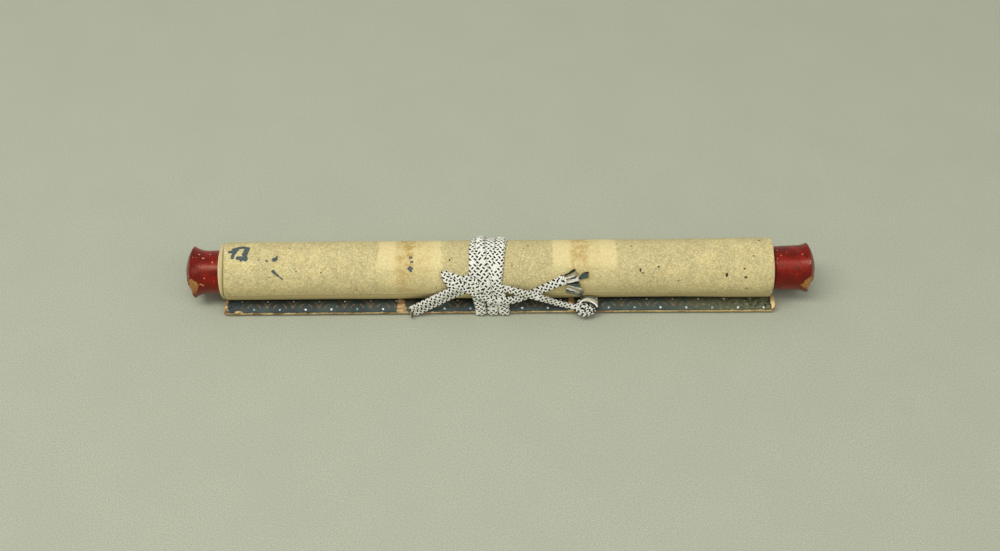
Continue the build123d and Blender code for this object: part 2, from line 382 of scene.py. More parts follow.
def tube(points, normals, width, height, sides):
    """A closed tube of flattened section along points. Returns vertices and faces."""
    _, side, normal = line_frame(points, normals)
    angles = np.arange(sides) * math.tau / sides + math.pi / 2
    ring = side[:, None] * (width / 2 * np.cos(angles))[None, :, None]
    ring = ring + normal[:, None] * (height / 2 * np.sin(angles))[None, :, None]
    return (points[:, None] + ring).reshape(-1, 3), closed_faces(len(points), sides)


class Pile:
    """Gathers the parts of one mesh, with a material and a shade for each."""

    def __init__(self):
        self.vertices, self.faces, self.material, self.shade, self.groove = [], [], [], [], []
        self.count = 0

    def add(self, vertices, faces, material=0, shade=0.0, groove=None):
        self.vertices.append(vertices)
        self.faces += [tuple(index + self.count for index in face) for face in faces]
        self.material += material if isinstance(material, list) else [material] * len(faces)
        self.shade.append(np.full(len(vertices), shade))
        self.groove.append(np.zeros(len(vertices)) if groove is None else groove)
        self.count += len(vertices)

    def build(self, name, materials):
        piece = add_object(name, np.concatenate(self.vertices), self.faces, materials, self.material)
        add_values(piece, "shade", np.concatenate(self.shade))
        add_values(piece, "groove", np.concatenate(self.groove))
        return piece


def strand_groove_shade(weave):
    """How deep each point of a strand lies in the braid, as a share of painted shade: its flanks, and all of
    it where it dives.
    """
    flank = 1 - np.maximum(np.sin(np.arange(STRAND_SIDES) * math.tau / STRAND_SIDES + math.pi / 2), 0)
    dive = np.clip(-weave / WEAVE_DEPTH, 0, 1)
    return np.maximum(flank[None, :], dive[:, None] * 0.9).ravel()


def step_colours(black):
    """The material of each face of a strand: black or white for each step, and white caps."""
    return np.repeat(np.asarray(black, int), STRAND_SIDES).tolist() + [0, 0]


def strand_marks(q, way, start, turn, strands):
    """Which steps of a strand are black: the passes over others that are marked in their columns."""
    columns = 2 * strands
    over, step, first_mark = (0.5, 0.25, 0) if way > 0 else (2.5, 0.75, 1)
    phase = (columns * q - over) / 4
    middle = (phase[:-1] + phase[1:]) / 2
    number = np.round(middle)
    marked = {}
    for passing in np.unique(number).tolist():
        turns_along = ((4 * passing + over) / columns - start) * way + turn
        place_in_column = round(turns_along * strands - step)
        marked[passing] = place_in_column % MARK_EVERY == first_mark and RNG.random() > PALE_SHARE
    near = np.abs(middle - number) < MARK_REACH / 4
    return [bool(close and marked[passing]) for close, passing in zip(near, number.tolist())]


def full_width(z):
    return np.ones(np.shape(z))


class BraidLine:
    """The line that a flat braid follows, and its section: a flat front and back with round edges."""

    def __init__(self, points, normals, width, thickness, squeeze, crown):
        self.points, normals = without_doubles(points, normals)
        self.length, self.side, self.normal = line_frame(self.points, normals)
        self.total = self.length[-1]
        self.width, self.squeeze, self.crown = width, squeeze, crown
        self.edge = thickness / 2 - STRAND_HEIGHT / 2
        self.half_flat = (width - thickness) / 2
        self.girth = 4 * self.half_flat + math.tau * self.edge
        reach = 0.5 * math.pi * self.edge / self.girth
        self.shown = (-reach, 2 * self.half_flat / self.girth + reach)

    def at(self, z):
        """Point, side and normal at distances along the line."""
        return [np.stack([np.interp(z, self.length, values[:, k]) for k in range(3)], -1)
                for values in (self.points, self.side, self.normal)]

    def laid(self, z, across, out):
        """Points at distances along the line, across it and out of it."""
        point, side, normal = self.at(z)
        out = out - self.crown * (2 * across / self.width) ** 2
        return point + side * (across * self.squeeze(z))[:, None] + normal * np.expand_dims(out, -1)

    def place(self, q, z, lift):
        """From a place round the section, 0 at the left of its front, to points and their normals."""
        around = q * self.girth
        over = np.maximum(around - 2 * self.half_flat, 0) + np.minimum(around, 0)
        angle = math.pi / 2 - over / self.edge
        flat = np.clip(around, 0, 2 * self.half_flat) - self.half_flat
        reach = self.edge + lift
        points = self.laid(z, flat + reach * np.cos(angle), reach * np.sin(angle))
        _, side, normal = self.at(z)
        return points, side * np.cos(angle)[:, None] + normal * np.sin(angle)[:, None]


def add_strand(pile, line, way, start, strands):
    """One strand's passes over the braid's front. Start is its place round the section at z = 0."""
    lay = line.girth / math.tan(BRAID_SLANT)
    for turn in range(-2, int(line.total / lay) + 3):
        z0, z1 = sorted(((q - start) * way + turn) * lay for q in line.shown)
        z0, z1 = max(z0, 0.0), min(z1, line.total)
        if z1 - z0 < 2 * STRAND_STEP:
            continue
        z = np.linspace(z0, z1, max(int((z1 - z0) / STRAND_STEP), 3))
        q = start + way * (z / lay - turn)
        weave = way * WEAVE_DEPTH * np.cos(math.tau * (2 * strands * q - 0.5) / 4)
        vertices, faces = tube(*line.place(q, z, weave), STRAND_WIDTH, STRAND_HEIGHT, STRAND_SIDES)
        colours = step_colours(strand_marks(q, way, start, turn, strands))
        pile.add(vertices, faces, colours, RNG.uniform(-1, 1), strand_groove_shade(weave))


def add_core(pile, line):
    """The braid's core, coloured dark as painted shade where it shows between the strands."""
    z = np.linspace(0, line.total, max(int(line.total), 2))
    rings = []
    for angle in np.arange(CORE_SIDES) * math.tau / CORE_SIDES:
        out = CORE_SHARE * line.edge * math.sin(angle) - CORE_SUNK
        rings.append(line.laid(z, line.half_flat * math.cos(angle), out))
    pile.add(np.stack(rings, 1).reshape(-1, 3), closed_faces(len(z), CORE_SIDES), 2)


def braid(pile, points, normals, width=CORD_WIDTH, thickness=CORD_THICKNESS, squeeze=full_width, crown=0.5,
          strands=STRANDS_EACH_WAY):
    """A flat braid along a line. Squeeze narrows it, and crown rounds its front."""
    line = BraidLine(points, normals, width, thickness, squeeze, crown)
    for way in (1, -1):
        for strand in range(strands):
            add_strand(pile, line, way, strand / strands, strands)
    add_core(pile, line)
    return line.points


# The winding cord's turns: where the middle of each lies along the roll, from its first pass over
# the roll's top. Each goes down the front, leans to the right at the knot and comes up the back.
BACK_RISE = 46.0          # from the table up the back to the top
CROSSING_END = 33.0       # how far down the front the last pass goes, over the others
AT_KNOT = 22.0
AT_STAVE = 42.0
BEHIND = 66.0
TURN_PLACES = [
    (-14.3, -16.8, -16.4, -12.8, -12.6),
    (-5.4, -6.6, -8.0, -5.1, -5.0),
    (0.7, -0.5, -3.0, 2.1, 2.2),
]
OVER_THE_TOP = -18.0      # the contour seen from the front, behind the roll's top
LAST_PASS = (-12.8, -9.9, -8.6)
TURN_WIDTH = 7.1
TURNS_END = len(TURN_PLACES) * GIRTH
TURN_STEP = 0.5
TURN_SMOOTHING = 15       # steps over which a turn's bends are evened out
TURN_WAVER = (0.1, 0.31)  # how far a turn wavers, and how fast
# From where to where, counted from the turns' end, the last pass climbs over the turns, and counted
# from the third turn's top, the third turn is lifted by those it crosses
CLIMB = (-52, -36)
CLIMB_HEIGHT = 1.15       # in thicknesses of the cord
THIRD_LIFT = 0.45
THIRD_LIFTED = (-34, -20, 34, 44)
TUCKED = (1.2, 12)        # how far the first end is tucked in, and over what length
TURNS_OVERLAP = (-44, -45)                 # where the turns' braid ends and the last pass' begins


def turn_keys():
    """Places along the roll by the run from the top of the first turn."""
    keys = [(-BACK_RISE, TURN_PLACES[0][0] + 1.5)]
    for number, places in enumerate(TURN_PLACES):
        for run, x in zip((OVER_THE_TOP, 0, AT_KNOT, AT_STAVE, BEHIND), places):
            keys.append((number * GIRTH + run, x))
    keys += [(TURNS_END - 0.33 * GIRTH, TURN_PLACES[-1][-1] - 2.0), (TURNS_END - 20, LAST_PASS[0])]
    keys += list(zip((TURNS_END, TURNS_END + AT_KNOT, TURNS_END + CROSSING_END), LAST_PASS))
    return np.array(keys)


def add_winding():
    """Three turns side by side, and a last pass over the top of them."""
    keys = turn_keys()
    run = np.arange(-BACK_RISE, keys[-1, 0], TURN_STEP)
    x = np.interp(run, keys[:, 0], keys[:, 1])
    kernel = np.hanning(2 * TURN_SMOOTHING + 1)
    x = np.convolve(np.pad(x, TURN_SMOOTHING, mode="edge"), kernel / kernel.sum(), mode="valid")
    x = x + TURN_WAVER[0] * np.sin(run * TURN_WAVER[1])
    past_end = run - TURNS_END
    climb = smooth(past_end, *CLIMB) * CORD_THICKNESS * CLIMB_HEIGHT
    third = THIRD_LIFT * raised(past_end + GIRTH, *THIRD_LIFTED)
    tuck = TUCKED[0] * (1 - smooth(run + BACK_RISE, 0, TUCKED[1]))
    stand_off = level(0) + 0.15 + climb + third - tuck
    points, normals = belt_at(TOP_OF_ROLL + run, stand_off)
    points[:, 0] = x
    points[:, 2] = np.maximum(points[:, 2], TABLE + 0.75 * CORD_THICKNESS)
    turns, last_pass = past_end < TURNS_OVERLAP[0], past_end > TURNS_OVERLAP[1]
    pile = Pile()
    braid(pile, points[turns], normals[turns], width=TURN_WIDTH, crown=0.9)
    braid(pile, points[last_pass], normals[last_pass], width=TURN_WIDTH + 0.5, crown=1.9)
    piece = pile.build("winding_cord_turns_braid", CORD_MATERIALS)
    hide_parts("winding_cord_turns")


def declare(path):
    path = world(path)
    path[::4].tolist() + [path[-1].tolist()]


TAIL_WIDTH = 6.4
ARM_WIDTH = 5.4
PLY_WIDTH = 5.2           # of the left arm's two plies, which lie side by side
PLY_SHIFT = 1.5
BIGHT_WIDTH = 5.2
PUFF_WIDTH = 5.6
# The bight folds over at its tip and comes back down over itself, and a puffed loop crosses the turns
BIGHT_BACK = [(-35.2, -0.9), (-34.4, -4.6), (-32.2, -8.6), (-28.6, -12.0)]
PUFF = [(-21.6, -3.4), (-20.7, -7.4), (-17.6, -11.0), (-11.5, -13.4)]


def tail_level(x):
    return level(0) + raised(x, -35, -27, 5, 12) * CORD_THICKNESS + 0.7 * raised(x, -20, -12, -2, 6)


def right_arm_level(x):
    return level(0) + CORD_THICKNESS * raised(x, 4, 10, 27, 34) + 1.4 * smooth(x, 42, 51)


def left_arm_level(x):
    return level(0) + CORD_THICKNESS * smooth(x, -58, -50)


def bight_level(x):
    return level(0) + 0.5 * smooth(x, -22, -16)


def even_level(number, more=0.0):
    """A stand-off that is the same all along the cord."""
    return lambda x: np.full(np.shape(x), level(number) + more)


def beside(route, shift):
    """The same route, shifted across itself in the picture."""
    route = np.asarray(route, float)
    along = np.gradient(route, axis=0)
    across = np.stack([-along[:, 1], along[:, 0]], -1) / np.linalg.norm(along, axis=1)[:, None]
    return route + across * shift


def add_cord(name, route, stand_off, width, strands=NARROW_STRANDS, **facts):
    """A braided cord along a route in the picture. Returns it and its centreline."""
    points, normals = cord_line(name, route, stand_off)
    pile = Pile()
    path = braid(pile, points, normals, width=width, strands=strands, **facts)
    return pile.build(name, CORD_MATERIALS), path


def tip_squeeze(z):
    """Narrows a cord at its first end."""
    return 0.55 + 0.45 * smooth(z, 0, 5)


def arm_squeeze(z):
    """The right arm is pulled narrower towards its knot."""
    return 1.06 - 0.3 * smooth(z, 24, 52)


# Loose fibres where the cord has come undone
FIBRE_RADIUS = 0.17


def fibres(pile, root, root_lift, tip, tip_spread, count, material, curl, root_spread):
    """A bundle of fibres from root to tip, both in the picture, lying just off the scroll."""
    root, tip = np.asarray(root, float), np.asarray(tip, float)
    along = tip - root
    across = np.array([-along[1], along[0]]) / np.linalg.norm(along)
    for _ in range(count):
        side = RNG.uniform(-1, 1)
        end = tip + across * (side * tip_spread + RNG.normal(0, 0.16)) + along * RNG.uniform(-0.2, 0.06)
        begin = root + across * side * root_spread
        bend = across * RNG.normal(0, curl)
        t = np.linspace(0, 1, 7)[:, None]
        line = begin + (end - begin) * t + bend * (t * (1 - t)) * 4
        lift = root_lift * (1 - t[:, 0]) + RNG.uniform(0.2, 0.9) * t[:, 0] + RNG.uniform(-0.2, 0.5)
        points, normals = laid_points(line, lift + 0.2)
        vertices, faces = tube(points, normals, 2 * FIBRE_RADIUS, 2 * FIBRE_RADIUS, 3)
        pile.add(vertices, faces, material, RNG.uniform(-1.6, 1))


# Fibre bundles of the tail: root and tip in the photograph, half width of tip and root in mm,
# how many fibres and their material
FRAY = [
    ((564.0, 276.8), (574.6, 269.9), 0.75, 0.3, 26, 3),
    ((563.0, 277.4), (569.0, 273.6), 0.3, 0.3, 14, 1),
    ((562.5, 279.2), (577.0, 273.0), 1.1, 1.0, 44, 5),
    ((564.0, 279.0), (574.0, 275.4), 0.9, 0.5, 22, 0),
    ((566.0, 281.2), (576.0, 277.6), 0.35, 0.3, 16, 3),
    ((566.5, 282.2), (579.4, 278.6), 0.95, 0.8, 60, 0),
    ((579.2, 277.0), (579.8, 280.0), 0.4, 0.4, 18, 1),
    ((579.6, 277.6), (587.6, 275.2), 1.5, 1.1, 46, 4),
    ((581.0, 275.6), (588.2, 272.6), 0.5, 0.6, 18, 3),
    ((567.0, 283.8), (578.8, 282.5), 0.3, 0.45, 20, 1),
    ((569.0, 285.2), (579.9, 285.8), 1.0, 0.5, 40, 4),
    ((567.0, 286.6), (582.6, 291.4), 1.5, 1.0, 54, 5),
    ((566.5, 288.2), (580.0, 293.2), 0.4, 0.4, 24, 0),
    ((568.5, 285.8), (582.0, 289.4), 0.35, 0.3, 18, 0),
    ((566.5, 289.8), (575.0, 294.2), 0.25, 0.25, 14, 1),
    ((566.0, 291.6), (583.0, 294.6), 1.0, 0.7, 44, 4),
    ((566.0, 292.0), (579.0, 295.4), 0.7, 0.6, 24, 5),
]
WISPS = [
    ((412.5, 310.5), (410.5, 317.5), 0.9, 0.9, 14, 0),
    ((416.0, 311.0), (417.5, 316.5), 0.7, 0.9, 9, 0),
]
# The last of the tail's braid, loosened, from the tail's end on
LOOSENED = [(36.4, -7.9), (38.8, -6.9), (41.2, -6.4)]


def add_bundles(name, table, nearness, curl):
    """All the fibre bundles of one table."""
    pile = Pile()
    for root, tip, spread, root_spread, count, material in table:
        root, tip = seen(*root, nearness), seen(*tip, nearness)
        fibres(pile, root, level(0), tip, spread, count, material, curl, root_spread)
    return pile.build(name, FRAY_MATERIALS)


# The knot at the right eyelet: cord wound round itself, and a ribbon of undone fibres over it
KNOT_CENTRE = (54.0, -24.2)
KNOT_STAND_OFF = 4.4
# The ring of braid at its side: radius, first angle, sweep, height over the knot's middle,
# lean outward and width
KNOT_RING = (4.7, 150, 300, -0.2, 25, 4.4)
KNOT_RING_STRANDS = 6
# The knot's dome under its strands takes the core's colour: painted shade between them.
KNOT_BASE = (7, 30)       # rings and sides of the dark dome under the strands
KNOT_STRANDS = 9          # rings of single strands on its top
KNOT_STRAND_PITCH = 0.66
KNOT_DOME = 2.7
KNOT_RADIUS = 7.0
BLACK_EVERY = 3.1         # mm along a ring from one black mark to the next
BLACK_LENGTH = 1.15


def picture_point(x, v, out):
    """A point out in front of the picture plane through the roll's axis."""
    return np.array([
        x,
        v * math.sin(ELEVATION) - out * math.cos(ELEVATION),
        v * math.cos(ELEVATION) + out * math.sin(ELEVATION),
    ])


def knot_point(radius, angle, out, wide=1.05, high=0.96):
    """A point round the knot's middle, seen from the front."""
    x = KNOT_CENTRE[0] + wide * radius * math.cos(angle)
    v = KNOT_CENTRE[1] + high * radius * math.sin(angle)
    return picture_point(x, v, KNOT_STAND_OFF + out)


def knot_dome(radius):
    return KNOT_DOME * (1 - (radius / KNOT_RADIUS) ** 2)


def knot_ring(pile, radius, start, sweep, out, lean, width):
    """An arc of braid round the knot's middle."""
    angles = np.radians(np.linspace(start, start + sweep, 60))
    lean = math.radians(lean)
    points, normals = [], []
    for share, angle in zip(np.linspace(0, 1, len(angles)), angles):
        r = radius * (1 - 0.1 * share)
        points.append(knot_point(r, angle, out + 0.4 * math.sin(2 * angle), 1.06, 0.98))
        radial = picture_point(math.cos(angle), math.sin(angle), 0)
        normals.append(radial * math.cos(lean) + picture_point(0, 0, 1) * math.sin(lean))
    braid(pile, np.array(points), np.array(normals), width=width, thickness=1.3, crown=0.7,
          strands=KNOT_RING_STRANDS)


def knot_strand(pile, number):
    """One strand wound round the knot's middle, with black marks along it."""
    radius = 0.55 + KNOT_STRAND_PITCH * number
    start = RNG.uniform(0, 360)
    angles = np.radians(np.linspace(start, start + 345, 26 + 9 * number))
    height = knot_dome(radius) + (0.22 if number % 2 else -0.1)
    points, normals = [], []
    for angle in angles:
        r = radius + 0.3 * math.sin(angle * 3 + number) + 0.2 * (angle - angles[0]) / math.tau
        points.append(knot_point(r, angle, height + 0.25 * math.sin(2 * angle + number)))
        radial = picture_point(math.cos(angle), math.sin(angle), 0)
        normals.append(radial * (radius / 9.0) + picture_point(0, 0, 1))
    points, normals = np.array(points), np.array(normals)
    vertices, faces = tube(points, normals, 0.74, 0.62, STRAND_SIDES)
    along = lengths_along(points)
    middle = (along[:-1] + along[1:]) / 2 + RNG.uniform(0, BLACK_EVERY)
    black = (middle % BLACK_EVERY) < BLACK_LENGTH * RNG.uniform(0.7, 1.3)
    pile.add(vertices, faces, step_colours(black), RNG.uniform(-1, 1), strand_groove_shade(np.zeros(len(points))))


def add_knot():
    pile = Pile()
    knot_ring(pile, *KNOT_RING)
    rings, sides = KNOT_BASE
    vertices = []
    for ring in range(rings):
        radius = 6.0 * (ring + 0.2) / (rings - 0.8)
        for side in range(sides):
            vertices.append(knot_point(radius, math.tau * side / sides, knot_dome(radius) - 0.35))
    faces = ring_faces(rings, sides, flip=True)
    faces.append(tuple(range(sides)))
    # the dome, dark as painted shade under the knot's strands
    pile.add(np.array(vertices), faces, 2)
    for number in range(KNOT_STRANDS):
        knot_strand(pile, number)
    return pile.build("hanging_cord_knot_braid", CORD_MATERIALS)


# The frayed ribbon over the knot's top, as a sheet of fibres between two lines of the photograph
RIBBON_OUTER = [
    (579.6, 303.5), (581.0, 299.2), (585.5, 296.8), (591.0, 296.9), (597.0, 298.8), (603.8, 298.2),
]
RIBBON_INNER = [
    (581.5, 305.0), (583.5, 301.8), (588.0, 301.6), (592.5, 303.4), (597.0, 307.0), (602.6, 311.4),
]
RIBBON_FIBRES = 210
# Strands along the ribbon's inner edge: line in the photograph, width in mm, height, material. The white one
# stands in for the lit edge as a painted highlight, the black one below it for the painted shade in the gap
# under the ribbon.
RIBBON_EDGES = [
    ([(580.0, 304.2), (580.6, 301.4), (584.4, 300.0), (589.0, 300.9), (593.2, 302.6), (596.8, 305.6),
      (597.6, 308.0)], 0.95, 8.4, 0),
    ([(581.8, 302.6), (585.0, 302.2), (589.0, 302.9), (592.4, 304.4), (595.0, 306.8), (596.6, 309.4)],
     0.85, 7.9, 1),
]


def picture_line(name, points):
    """A smooth line by points of the photograph, as places in the picture."""
    return smooth_line(name, [(*seen(*p, 0.5), 0) for p in points])[:, :2]


def add_ribbon():
    pile = Pile()
    outer = picture_line("ribbon_outer", RIBBON_OUTER)[::8]
    inner = picture_line("ribbon_inner", RIBBON_INNER)[::8]
    steps = np.linspace(0, 1, len(outer))
    for _ in range(RIBBON_FIBRES):
        share = RNG.uniform(0, 1)
        line = outer * (1 - share) + inner * share
        line = line + np.stack([np.zeros(len(steps)), RNG.normal(0, 0.25) * np.sin(math.pi * steps)], -1)
        cut = int(len(line) * RNG.uniform(0.86, 1.0))
        arch = np.sin(math.pi * np.clip(steps * 0.9 + 0.1, 0, 1))
        arch = 3.2 * arch * (0.6 + 0.8 * math.sin(math.pi * share))
        points = np.array([picture_point(x, v, 4.6 + rise) for (x, v), rise in zip(line[:cut], arch)])
        normals = np.array([picture_point(0, 0.3, 1)] * cut)
        vertices, faces = tube(points, normals, 0.34, 0.3, 4)
        material = 4 if share < 0.3 and RNG.random() < 0.5 else RNG.choice([0, 5, 5])
        pile.add(vertices, faces, int(material), RNG.uniform(-1.6, 1))
    for line, width, rise, material in RIBBON_EDGES:
        points = np.array([picture_point(x, v, rise) for x, v in picture_line("ribbon_edge", line)[::6]])
        normals = np.array([picture_point(0, 0.2, 1)] * len(points))
        vertices, faces = tube(points, normals, width, 0.8, 8)
        pile.add(vertices, faces, material, 0.6)
    return pile.build("hanging_cord_loose_end", FRAY_MATERIALS)


def add_cords():
    add_winding()
    tail, tail_path = add_cord("winding_cord_tail_braid", BIGHT_LOWER, tail_level, TAIL_WIDTH, TAIL_STRANDS)
    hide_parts("winding_cord_tail")
    bight, _ = add_cord("winding_cord_bight", BIGHT_UPPER, bight_level, BIGHT_WIDTH)
    folded, _ = add_cord("winding_cord_bight_back", BIGHT_BACK, even_level(1), BIGHT_WIDTH)
    puff, _ = add_cord("winding_cord_puff", PUFF, even_level(1, 0.9), PUFF_WIDTH, crown=1.3)
    loose, _ = add_cord("winding_cord_loosened", LOOSENED, even_level(0), TAIL_WIDTH + 0.6)
    fray = add_bundles("winding_cord_fray", FRAY, 0.8, 0.25)
    declare(tail_path)
    upper, lower = beside(LEFT_ARM, PLY_SHIFT), beside(LEFT_ARM, -PLY_SHIFT)
    left, left_path = add_cord("hanging_cord_left_braid", upper, left_arm_level, PLY_WIDTH)
    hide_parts("hanging_cord_left_arm")
    below, _ = add_cord("hanging_cord_left_return", lower, even_level(0), PLY_WIDTH, squeeze=tip_squeeze)
    wisps = add_bundles("hanging_cord_wisps", WISPS, 0.4, 1.0)
    declare(left_path)
    right, right_path = add_cord("hanging_cord_right_braid", RIGHT_ARM, right_arm_level, ARM_WIDTH,
                                 squeeze=arm_squeeze)
    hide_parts("hanging_cord_right_arm")
    knot = add_knot()
    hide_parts("hanging_cord_knot")
    ribbon = add_ribbon()
    declare(right_path)


# Materials

NOISE_MIDDLE = (0.5, 0.5, 0.5)


class Value:
    """A number or a vector in a material's node tree. Arithmetic on it adds a node."""

    def __init__(self, socket, combine):
        self.socket = socket
        self.combine = combine

    def __add__(self, other):
        return self.combine("ADD", self, other)

    def __radd__(self, other):
        return self.combine("ADD", other, self)

    def __sub__(self, other):
        return self.combine("SUBTRACT", self, other)

    def __rsub__(self, other):
        return self.combine("SUBTRACT", other, self)

    def __mul__(self, other):
        return self.combine("MULTIPLY", self, other)

    def __truediv__(self, other):
        return self.combine("DIVIDE", self, other)


class Shader:
    """A material's node tree, built by short calls. Its colour is painted over bit by bit."""

    def __init__(self, name):
        self.material = bpy.data.materials.new(name)
        self.material.use_nodes = True
        self.tree = self.material.node_tree
        self.surface = self.tree.nodes["Principled BSDF"]
        # The point in millimetres, which is the scale of every texture here
        self.place = self.scale(Value(self.node("NewGeometry").outputs["Position"], self.vector), 1 / MM)

    def node(self, kind, inputs=(), **settings):
        made = self.tree.nodes.new("ShaderNode" + kind)
        for key, value in settings.items():
            setattr(made, key, value)
        for key, value in dict(inputs).items():
            self.put(made.inputs[key], value)
        return made

    def put(self, socket, value):
        if isinstance(value, Value):
            self.tree.links.new(value.socket, socket)
        else:
            socket.default_value = value

    def math(self, operation, a, b=0.0, clamp=False):
        made = self.node("Math", {0: a, 1: b}, operation=operation, use_clamp=clamp)
        return Value(made.outputs[0], self.math)

    def vector(self, operation, a, b=(0, 0, 0)):
        made = self.node("VectorMath", {0: a, 1: b}, operation=operation)
        return Value(made.outputs["Vector"], self.vector)

    def scale(self, vector, factor):
        made = self.node("VectorMath", {0: vector, 3: factor}, operation="SCALE")
        return Value(made.outputs["Vector"], self.vector)

    def measure(self, operation, a, b=(0, 0, 0)):
        """A number from vectors: LENGTH or DOT_PRODUCT."""
        made = self.node("VectorMath", {0: a, 1: b}, operation=operation)
        return Value(made.outputs["Value"], self.math)

    def split(self, vector):
        made = self.node("SeparateXYZ", {0: vector})
        return [Value(socket, self.math) for socket in made.outputs]

    def extreme(self, operation, values):
        """The MINIMUM or MAXIMUM of several values."""
        return reduce(lambda a, b: self.math(operation, a, b), values)

    def step(self, value, low, high):
        """0 below low, 1 above high."""
        made = self.node("MapRange", {0: value, 1: low, 2: high, 3: 0.0, 4: 1.0}, clamp=True)
        made.interpolation_type = "SMOOTHSTEP"
        return Value(made.outputs[0], self.math)

    def fall(self, value, low, high):
        """1 below low, 0 above high."""
        return 1.0 - self.step(value, low, high)

    def line(self, value, middle, inner, outer):
        """1 up to inner from the middle value, 0 from outer on."""
        return self.fall(self.math("ABSOLUTE", value - middle), inner, outer)

    def mix(self, share, a, b):
        return Value(self.node("Mix", {0: share, 6: a, 7: b}, data_type="RGBA").outputs[2], self.math)

    def paint(self, share, colour):
        self.colour = self.mix(share, self.colour, colour)

    def noise(self, scale, detail=3.0, roughness=0.55, distortion=0.0, at=None):
        made = self.node("TexNoise", {"Vector": at or self.place, "Scale": scale, "Detail": detail,
                                      "Roughness": roughness, "Distortion": distortion})
        return Value(made.outputs[0], self.math)

    def swirl(self, **inputs):
        """Three noises as a vector, each from 0 to 1."""
        made = self.node("TexNoise", {"Vector": self.place, **inputs})
        return Value(made.outputs["Color"], self.vector)

    def cells(self, scale):
        made = self.node("TexVoronoi", {"Vector": self.place, "Scale": scale})
        return Value(made.outputs["Distance"], self.math)

    def value(self, name):
        return Value(self.node("Attribute", attribute_name=name).outputs["Fac"], self.math)

    def spread(self, name):
        return Value(self.node("Attribute", attribute_name=name).outputs["Vector"], self.vector)

    def finish(self, roughness, bump=None, strength=0.3, distance=0.0002):
        self.put(self.surface.inputs["Base Color"], self.colour)
        self.put(self.surface.inputs["Roughness"], roughness)
        if bump is not None:
            made = self.node("Bump", {"Height": bump, "Strength": strength, "Distance": distance})
            self.tree.links.new(made.outputs[0], self.surface.inputs["Normal"])
        return self.material


# Painted shade in the grooves between a cord's strands
GROOVE_SHADE = srgb(96, 94, 66)


def strand_material(name, light, dark, roughness=0.75, groove=GROOVE_SHADE):
    """Twisted fibres of one strand, a little uneven in tone, with painted shade in the braid's grooves."""
    sh = Shader(name)
    fine = sh.noise(2.6, 4.0, 0.6)
    tone = sh.value("shade") * 0.22 + sh.step(fine, 0.3, 0.72)
    tone = sh.math("ADD", tone, (sh.noise(0.16, 2.0) - 0.5) * 0.9, clamp=True)
    sh.colour = sh.mix(tone, dark, light)
    # painted shade on the strands' flanks and where they dive under the others
    sh.paint(sh.step(sh.value("groove"), 0.3, 1.0), groove)
    return sh.finish(roughness, fine, 0.5, 0.0003)


def add_cord_materials():
    white = strand_material("cord_white", srgb(255, 255, 246), srgb(232, 230, 206))
    black = strand_material("cord_black", srgb(16, 16, 13), srgb(3, 3, 3), 0.8, srgb(2, 2, 2))
    # the core's dark colour is painted shade between the strands
    core = strand_material("cord_core_painted_shade", srgb(30, 29, 21), srgb(12, 12, 9))
    green = strand_material("fibre_green", srgb(62, 76, 56), srgb(28, 40, 32))
    blue = strand_material("fibre_blue_grey", srgb(118, 136, 122), srgb(56, 74, 68))
    dull = strand_material("fibre_dull", srgb(210, 200, 162), srgb(150, 140, 104))
    return [white, black, core], [white, black, core, green, blue, dull]


# Colours of the scroll as the photograph shows them
PAPER = srgb(215, 199, 138)
PAPER_GREY = srgb(190, 179, 126)
PAPER_LIGHT = srgb(228, 211, 149)
PAPER_TAN = srgb(196, 168, 104)
CLOTH = srgb(44, 64, 70)
CLOTH_LIGHT = srgb(82, 104, 106)
WOOD = srgb(176, 138, 84)
HOLE = srgb(38, 34, 24)

# Worn spots of the paper as strokes: two ends in the photograph's pixels and a half width in mm
LOSSES = [
    (232.4, 249.4, 240.2, 247.4, 1.3), (240.2, 247.4, 246.4, 248.4, 1.35),
    (245.8, 249.0, 244.6, 253.6, 1.75), (243.4, 253.8, 245.4, 259.6, 1.35),
    (237.4, 258.2, 245.6, 258.9, 1.35), (229.0, 252.0, 233.4, 252.2, 1.15),
    (233.0, 252.0, 232.0, 257.8, 1.1), (234.8, 250.2, 233.0, 252.6, 1.7),
    (240.0, 258.0, 241.0, 260.6, 1.0), (274.0, 259.9, 275.6, 259.3, 1.3),
    (276.0, 258.8, 276.8, 257.2, 0.6), (273.0, 271.6, 274.8, 273.6, 0.95),
    (274.8, 273.6, 278.2, 276.4, 0.75), (278.2, 276.4, 282.6, 280.0, 0.42),
    (266.3, 261.3, 267.0, 261.5, 0.6), (258.2, 260.2, 258.7, 260.1, 0.35),
    (410.0, 257.4, 412.0, 258.2, 0.55), (409.4, 258.8, 411.0, 258.2, 0.4),
    (411.0, 262.6, 412.6, 262.2, 0.6), (409.0, 269.4, 411.6, 269.0, 1.0),
    (410.4, 268.0, 410.8, 271.2, 0.9), (296.0, 272.2, 297.2, 272.0, 0.3),
]
# Insect holes and dark specks: place in the photograph and half sizes in mm along and round the roll
DARK_SPECKS = [
    (251.9, 256.4, 0.3, 0.3), (294.8, 269.4, 0.4, 0.3), (269.9, 277.8, 0.5, 0.4),
    (288.2, 248.4, 0.5, 0.3), (449.7, 260.3, 0.5, 0.7), (451.6, 258.4, 0.3, 0.4),
    (528.4, 245.7, 0.9, 0.5), (523.4, 248.6, 0.4, 0.3), (632.6, 246.2, 0.6, 0.5),
    (640.3, 270.4, 0.6, 1.2), (643.0, 273.4, 0.8, 0.4), (658.6, 267.3, 0.7, 0.6),
    (650.2, 256.4, 0.3, 0.3), (653.3, 277.6, 0.3, 0.3), (678.5, 281.3, 0.5, 0.4),
    (726.7, 275.2, 0.9, 1.4), (744.2, 269.2, 0.7, 0.5), (745.8, 277.6, 0.9, 0.8),
    (753.8, 256.4, 0.6, 0.5), (762.2, 240.9, 1.4, 0.5), (747.4, 288.5, 0.7, 0.4),
    (436.0, 288.6, 0.4, 0.4), (321.0, 273.0, 0.4, 0.4), (512.0, 266.0, 0.5, 0.4),
    (219.5, 255.0, 0.8, 0.9), (356.0, 290.5, 0.4, 0.4), (535.0, 277.0, 0.3, 0.3),
    (606.0, 288.0, 0.3, 0.3),
]

